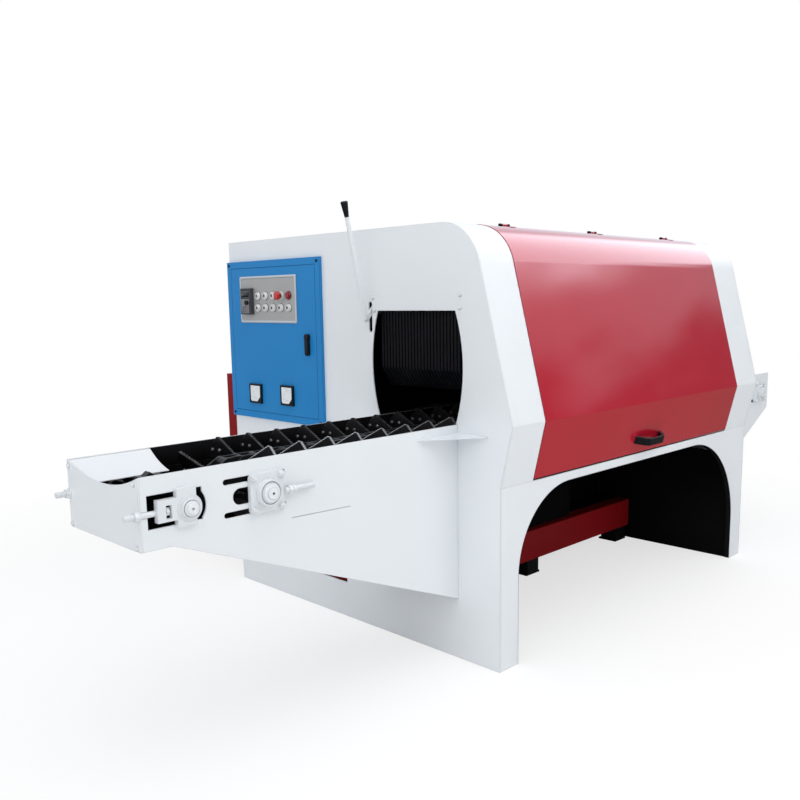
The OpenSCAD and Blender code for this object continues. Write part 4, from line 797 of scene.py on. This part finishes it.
# the weld that closes the lower bend of the right plate
weld = bmesh.new()
weld_start, weld_end, beads = Vector((-215, -821, 751)), Vector((-215, -567, 744)), 46
for number in range(beads):
    bead = bmesh.new()
    bmesh.ops.create_icosphere(bead, subdivisions=2, radius=1)
    bmesh.ops.scale(bead, vec=(0.35, 4.0, 2.0), verts=bead.verts)
    bmesh.ops.translate(bead, vec=weld_start.lerp(weld_end, number / (beads - 1)), verts=bead.verts)
    join(weld, bead)
piece("plate_weld", weld, white_enamel, "machine")

# corner screws of the end plate
plate_screws = bmesh.new()
for x in (-658, -235):
    for z in (948, 761):
        bolt(plate_screws, (x, -1356, z), (0, -1, 0), 8)
piece("end_plate_screws", plate_screws, white_enamel, "machine")

# ---------------------------------------------------------------- finger curtain and its lever
# Black flat fingers hang from a cross shaft behind the opening and stop a log from coming back.
# A lever with a tapered knob lifts them all together.
finger_black = painted("finger black", (0.004, 0.004, 0.006), (0.009, 0.009, 0.011), 0.5,
                       (0.3, 0.5), (0.05, 0.05, 0.055), edge_width=0.003, edge_share=0.5, peel=0.04,
                       shine=0.12)
dress(finger_black, "kickback_fingers")
dress(white_enamel, "finger_lever")
black_plastic = painted("moulded black plastic", (0.006, 0.007, 0.010), (0.010, 0.011, 0.014), 0.4,
                        (0.28, 0.42), (0.035, 0.035, 0.04), edge_share=0.3, peel=0.05, shine=0.25)
dress(black_plastic, "lever_knob")

# ---------------------------------------------------------------- switch cabinet
# A folded sheet cabinet is let into the infeed wall. Its door, powder coated blue, carries
# a silver control plate, an inverter keypad, two panel meters and a swing lock.
blue_coat = painted("blue powder coat", (0.016, 0.222, 0.54), (0.013, 0.20, 0.50), 0.4,
                    (0.34, 0.46), (0.08, 0.27, 0.50), edge_share=0.3, peel=0.06, shine=0.22)
dress(blue_coat, "cabinet_box", "cabinet_door")
plate_silver = painted("silver plate", (0.46, 0.46, 0.45), (0.41, 0.41, 0.40), 0.4,
                       (0.38, 0.5), (0.62, 0.62, 0.62), edge_share=0.3, peel=0.03, metallic=0.4, shine=0.3)
dress(plate_silver, "control_plate")
keypad_grey = painted("keypad grey", (0.035, 0.038, 0.045), (0.05, 0.052, 0.058), 0.4,
                      (0.35, 0.5), (0.08, 0.08, 0.08), edge_share=0.3, peel=0.05)
dress(keypad_grey, "keypad")
dress(black_plastic, "keypad_knob", "door_handle", "panel_meters")
cap_white = painted("white cap", (0.78, 0.79, 0.77), (0.70, 0.71, 0.69), 0.35,
                    (0.2, 0.32), (0.6, 0.6, 0.6), edge_share=0.2, peel=0.02)
dress(cap_white, "pilot_lamps", "push_button_1", "push_button_2", "push_button_3", "push_button_4",
      "push_button_5")
cap_red = painted("red cap", (0.50, 0.016, 0.016), (0.42, 0.012, 0.012), 0.35,
                  (0.18, 0.3), (0.3, 0.05, 0.05), edge_share=0.2, peel=0.02, coat=0.4)
dress(cap_red, "emergency_stop")
cap_dark_red = painted("dark red cap", (0.24, 0.010, 0.014), (0.19, 0.008, 0.010), 0.35,
                       (0.2, 0.32), (0.2, 0.04, 0.04), edge_share=0.2, peel=0.02, coat=0.3)
dress(cap_dark_red, "red_button")

cabinet_screws = bmesh.new()
for x in (-1736, -1040.75):
    for z in (899, 1635):
        pan_screw(cabinet_screws, (x, -16, z), (0, -1, 0), 7)
piece("cabinet_screws", cabinet_screws, black_plastic, "machine")


def frame_ring(mesh, low, high, wide, front, back, corner):
    """A flat frame with rounded corners between two corners in x and z."""
    part = bmesh.new()
    loops = []
    for inset in (0, wide):
        bend = max(corner - inset, 0.5)
        loop = []
        for cx, cz, first in ((high[0], high[1], 0), (low[0], high[1], 1), (low[0], low[1], 2),
                              (high[0], low[1], 3)):
            mx = cx + (bend + inset) * (-1 if first in (0, 3) else 1)
            mz = cz + (bend + inset) * (-1 if first in (0, 1) else 1)
            for step in range(7):
                angle = (first + step / 6) * pi / 2
                loop.append(part.verts.new((mx + bend * cos(angle), back, mz + bend * sin(angle))))
        loops.append([part.edges.new((loop[i], loop[(i + 1) % len(loop)])) for i in range(len(loop))])
    faces = bmesh.ops.bridge_loops(part, edges=loops[0] + loops[1])["faces"]
    thicken(part, faces, (0, front - back, 0))
    rims = [
        edge for edge in part.edges
        if all(abs(vert.co.y - front) < 1e-6 for vert in edge.verts) and edge.calc_face_angle(0) > 1
    ]
    bmesh.ops.bevel(part, geom=rims, offset=0.5, affect="EDGES", segments=2, profile=0.5, material=-1)
    join(mesh, part)


# the border is paler than the plate: partly a lighter trim, partly a painted highlight along the plate's
# raised edge
plate_border_glint = painted("plate border with painted highlight", (0.60, 0.64, 0.68), (0.54, 0.58, 0.62), 0.4,
                      (0.3, 0.42), (0.75, 0.75, 0.75), edge_share=0.3, metallic=0.4)
plate_border = bmesh.new()
plate_low, plate_high = (tuple((corner - foot_corner) * 1000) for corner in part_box("control_plate"))
frame_ring(plate_border, (plate_low[0], plate_low[2]), (plate_high[0], plate_high[2]),
           11, -20.5, -17.5, 12)
piece("plate_border", plate_border, plate_border_glint, "door")


def middle(node):
    """The middle of a solid in millimetres."""
    low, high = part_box(node)
    return ((low + high) / 2 - foot_corner) * 1000


# pale bezels stand round the buttons and lamps on a dark gasket ring, which is partly painted shade for the
# gap round each bezel, with a grey insert in every cap
bezels, gasket_shades = bmesh.new(), bmesh.new()
insert_grey = painted("insert grey", (0.10, 0.10, 0.105), (0.07, 0.07, 0.075), 0.4,
                      (0.3, 0.45), (0.2, 0.2, 0.2), edge_share=0.2)
insert = [(0, -1), (7.6, -1), (7.6, 0.7), (6.6, 1.2), (0, 1.0)]
bezel = [(13.6, -1), (18.5, -1), (18.5, 5), (16.8, 8.6), (14.6, 8.6), (13.6, 7.6)]
gasket_shade_ring = [(14, -0.6), (20.5, -0.6), (20.5, 0.6), (20, 1.1), (14, 1.1)]
plate_y = -18
button_low = [middle("push_button_%d" % number) for number in range(1, 6)]
stop, red = middle("emergency_stop"), middle("red_button")
lamps = [Vector((button.x, -29.3, red.z)) for button in button_low[:3]]
for button in button_low + lamps:
    turned(bezels, bezel, (button.x, plate_y, button.z), (0, -1, 0), 40)
    turned(gasket_shades, gasket_shade_ring, (button.x, plate_y, button.z), (0, -1, 0), 40)
for number, button in enumerate(button_low, 1):
    cap_insert = bmesh.new()
    turned(cap_insert, insert, (button.x, -31, button.z), (0, -1, 0), 24)
    piece("cap_insert_%d" % number, cap_insert, insert_grey, "cap_%d" % number)
turned(bezels, [(12, -0.6), (20, -0.6), (20, 3), (18.5, 4.5), (13, 4.5), (12, 3.5)],
       (stop.x, plate_y, stop.z), (0, -1, 0), 40)
piece("button_bezels", bezels, cap_white, "door")
turned(gasket_shades, gasket_shade_ring, (red.x, plate_y, red.z), (0, -1, 0), 40)
piece("button_gasket_shades", gasket_shades, black_plastic, "door")
red_bezel = bmesh.new()
turned(red_bezel, bezel, (red.x, plate_y, red.z), (0, -1, 0), 40)
piece("red_bezel", red_bezel, cap_dark_red, "door")
lamp_inserts = bmesh.new()
for lamp in lamps:
    turned(lamp_inserts, insert, lamp, (0, -1, 0), 24)
piece("lamp_inserts", lamp_inserts, insert_grey, "door")

# inverter keypad: dark display under a light bar, grey key field with four keys
keypad_low, keypad_high = (tuple((corner - foot_corner) * 1000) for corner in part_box("keypad"))
key_x, key_y, key_z = keypad_low
key_end = keypad_high[0]
field_grey = painted("key field grey", (0.20, 0.20, 0.205), (0.16, 0.16, 0.165), 0.4,
                     (0.35, 0.5), (0.3, 0.3, 0.3), edge_share=0.2)
keypad_field = bmesh.new()
block(keypad_field, (key_x + 5, key_y - 1.2, key_z + 5), (key_end - 13, key_y + 1, key_z + 74), 1.0)
block(keypad_field, (key_x + 7, key_y - 1, key_z + 107), (key_end - 15, key_y + 1, key_z + 111), 0.6)
for x in (key_x + 13, key_x + 30):
    for z in (key_z + 12, key_z + 30):
        block(keypad_field, (x, key_y - 3.4, z), (x + 12, key_y - 1, z + 10), 1.6)
piece("keypad_field", keypad_field, field_grey, "door")
display_glass = painted("display glass", (0.010, 0.014, 0.014), (0.014, 0.02, 0.02), 0.4,
                        (0.06, 0.12), (0.03, 0.03, 0.03), edge_share=0.1, peel=0.0)
display = bmesh.new()
block(display, (key_x + 9, key_y - 0.8, key_z + 84), (key_end - 17, key_y + 1.5, key_z + 105), 0.5)
piece("keypad_display", display, display_glass, "door")

# panel meters: a white dial with its corner cut for the movement, a scale and a needle
dial_white = painted("dial white", (0.80, 0.82, 0.84), (0.74, 0.76, 0.78), 0.3,
                     (0.25, 0.35), (0.8, 0.8, 0.8), edge_share=0.1, peel=0.0)
scale_grey = painted("scale grey", (0.22, 0.23, 0.25), (0.18, 0.19, 0.2), 0.3,
                     (0.4, 0.5), (0.3, 0.3, 0.3), edge_share=0.1, peel=0.0)
dials, scales = bmesh.new(), bmesh.new()
dial_inset, dial_wide, dial_cut = 9, 78, 24
dial_outline = [(0, 7), (7, 0), (dial_wide - dial_cut, 0), (dial_wide, dial_cut), (dial_wide, dial_wide),
                (0, dial_wide)]
for meter_x, meter_z in ((-1586, 958), (-1331, 964)):
    left, low = meter_x + dial_inset, meter_z + dial_inset
    part = bmesh.new()
    front = part.faces.new([part.verts.new((left + a, -26.2, low + b)) for a, b in dial_outline])
    thicken(part, [front], (0, -0.9, 0))
    join(dials, part)
    hub = Vector((left + dial_wide - 12, -27.2, low + 12))
    for step in range(11):
        angle = radians(98 + 7.5 * step)
        way = Vector((cos(angle), 0, sin(angle)))
        long_mark = 7 if step % 5 == 0 else 4
        mark = bmesh.new()
        bmesh.ops.create_cube(mark, size=1)
        bmesh.ops.scale(mark, vec=(long_mark, 0.3, 0.8), verts=mark.verts)
        bmesh.ops.transform(mark, matrix=Matrix.Translation(hub + way * (58 - long_mark / 2))
                            @ Matrix.Rotation(-angle, 4, "Y"), verts=mark.verts)
        join(scales, mark)
    needle = bmesh.new()
    lean = radians(168)
    bmesh.ops.create_cone(needle, segments=4, radius1=0.7, radius2=0.2, depth=34, cap_ends=True)
    bmesh.ops.transform(needle, matrix=Matrix.Translation(hub + Vector((cos(lean), 0, sin(lean))) * 35)
                        @ Matrix.Rotation(pi / 2 - lean, 4, "Y"), verts=needle.verts)
    join(scales, needle)
piece("meter_dials", dials, dial_white, "door")
piece("meter_scales", scales, scale_grey, "door")

# ---------------------------------------------------------------- red side cover
# One large sheet, bent over the shoulder, closes the saw bay. It hangs on three hinges on the
# roof and is lifted by a black bow handle.
cover_gloss = painted("cover gloss red", (0.47, 0.010, 0.027), (0.42, 0.008, 0.022), 0.4,
                      (0.10, 0.15), (0.25, 0.05, 0.05), edge_share=0.2, peel=0.006,
                      coat=1.0, coat_ior=1.6)
dress(cover_gloss, "side_cover", "hinge_leaves")
dress(black_plastic, "cover_handle")
dress(black_paint, "cover_hinges")
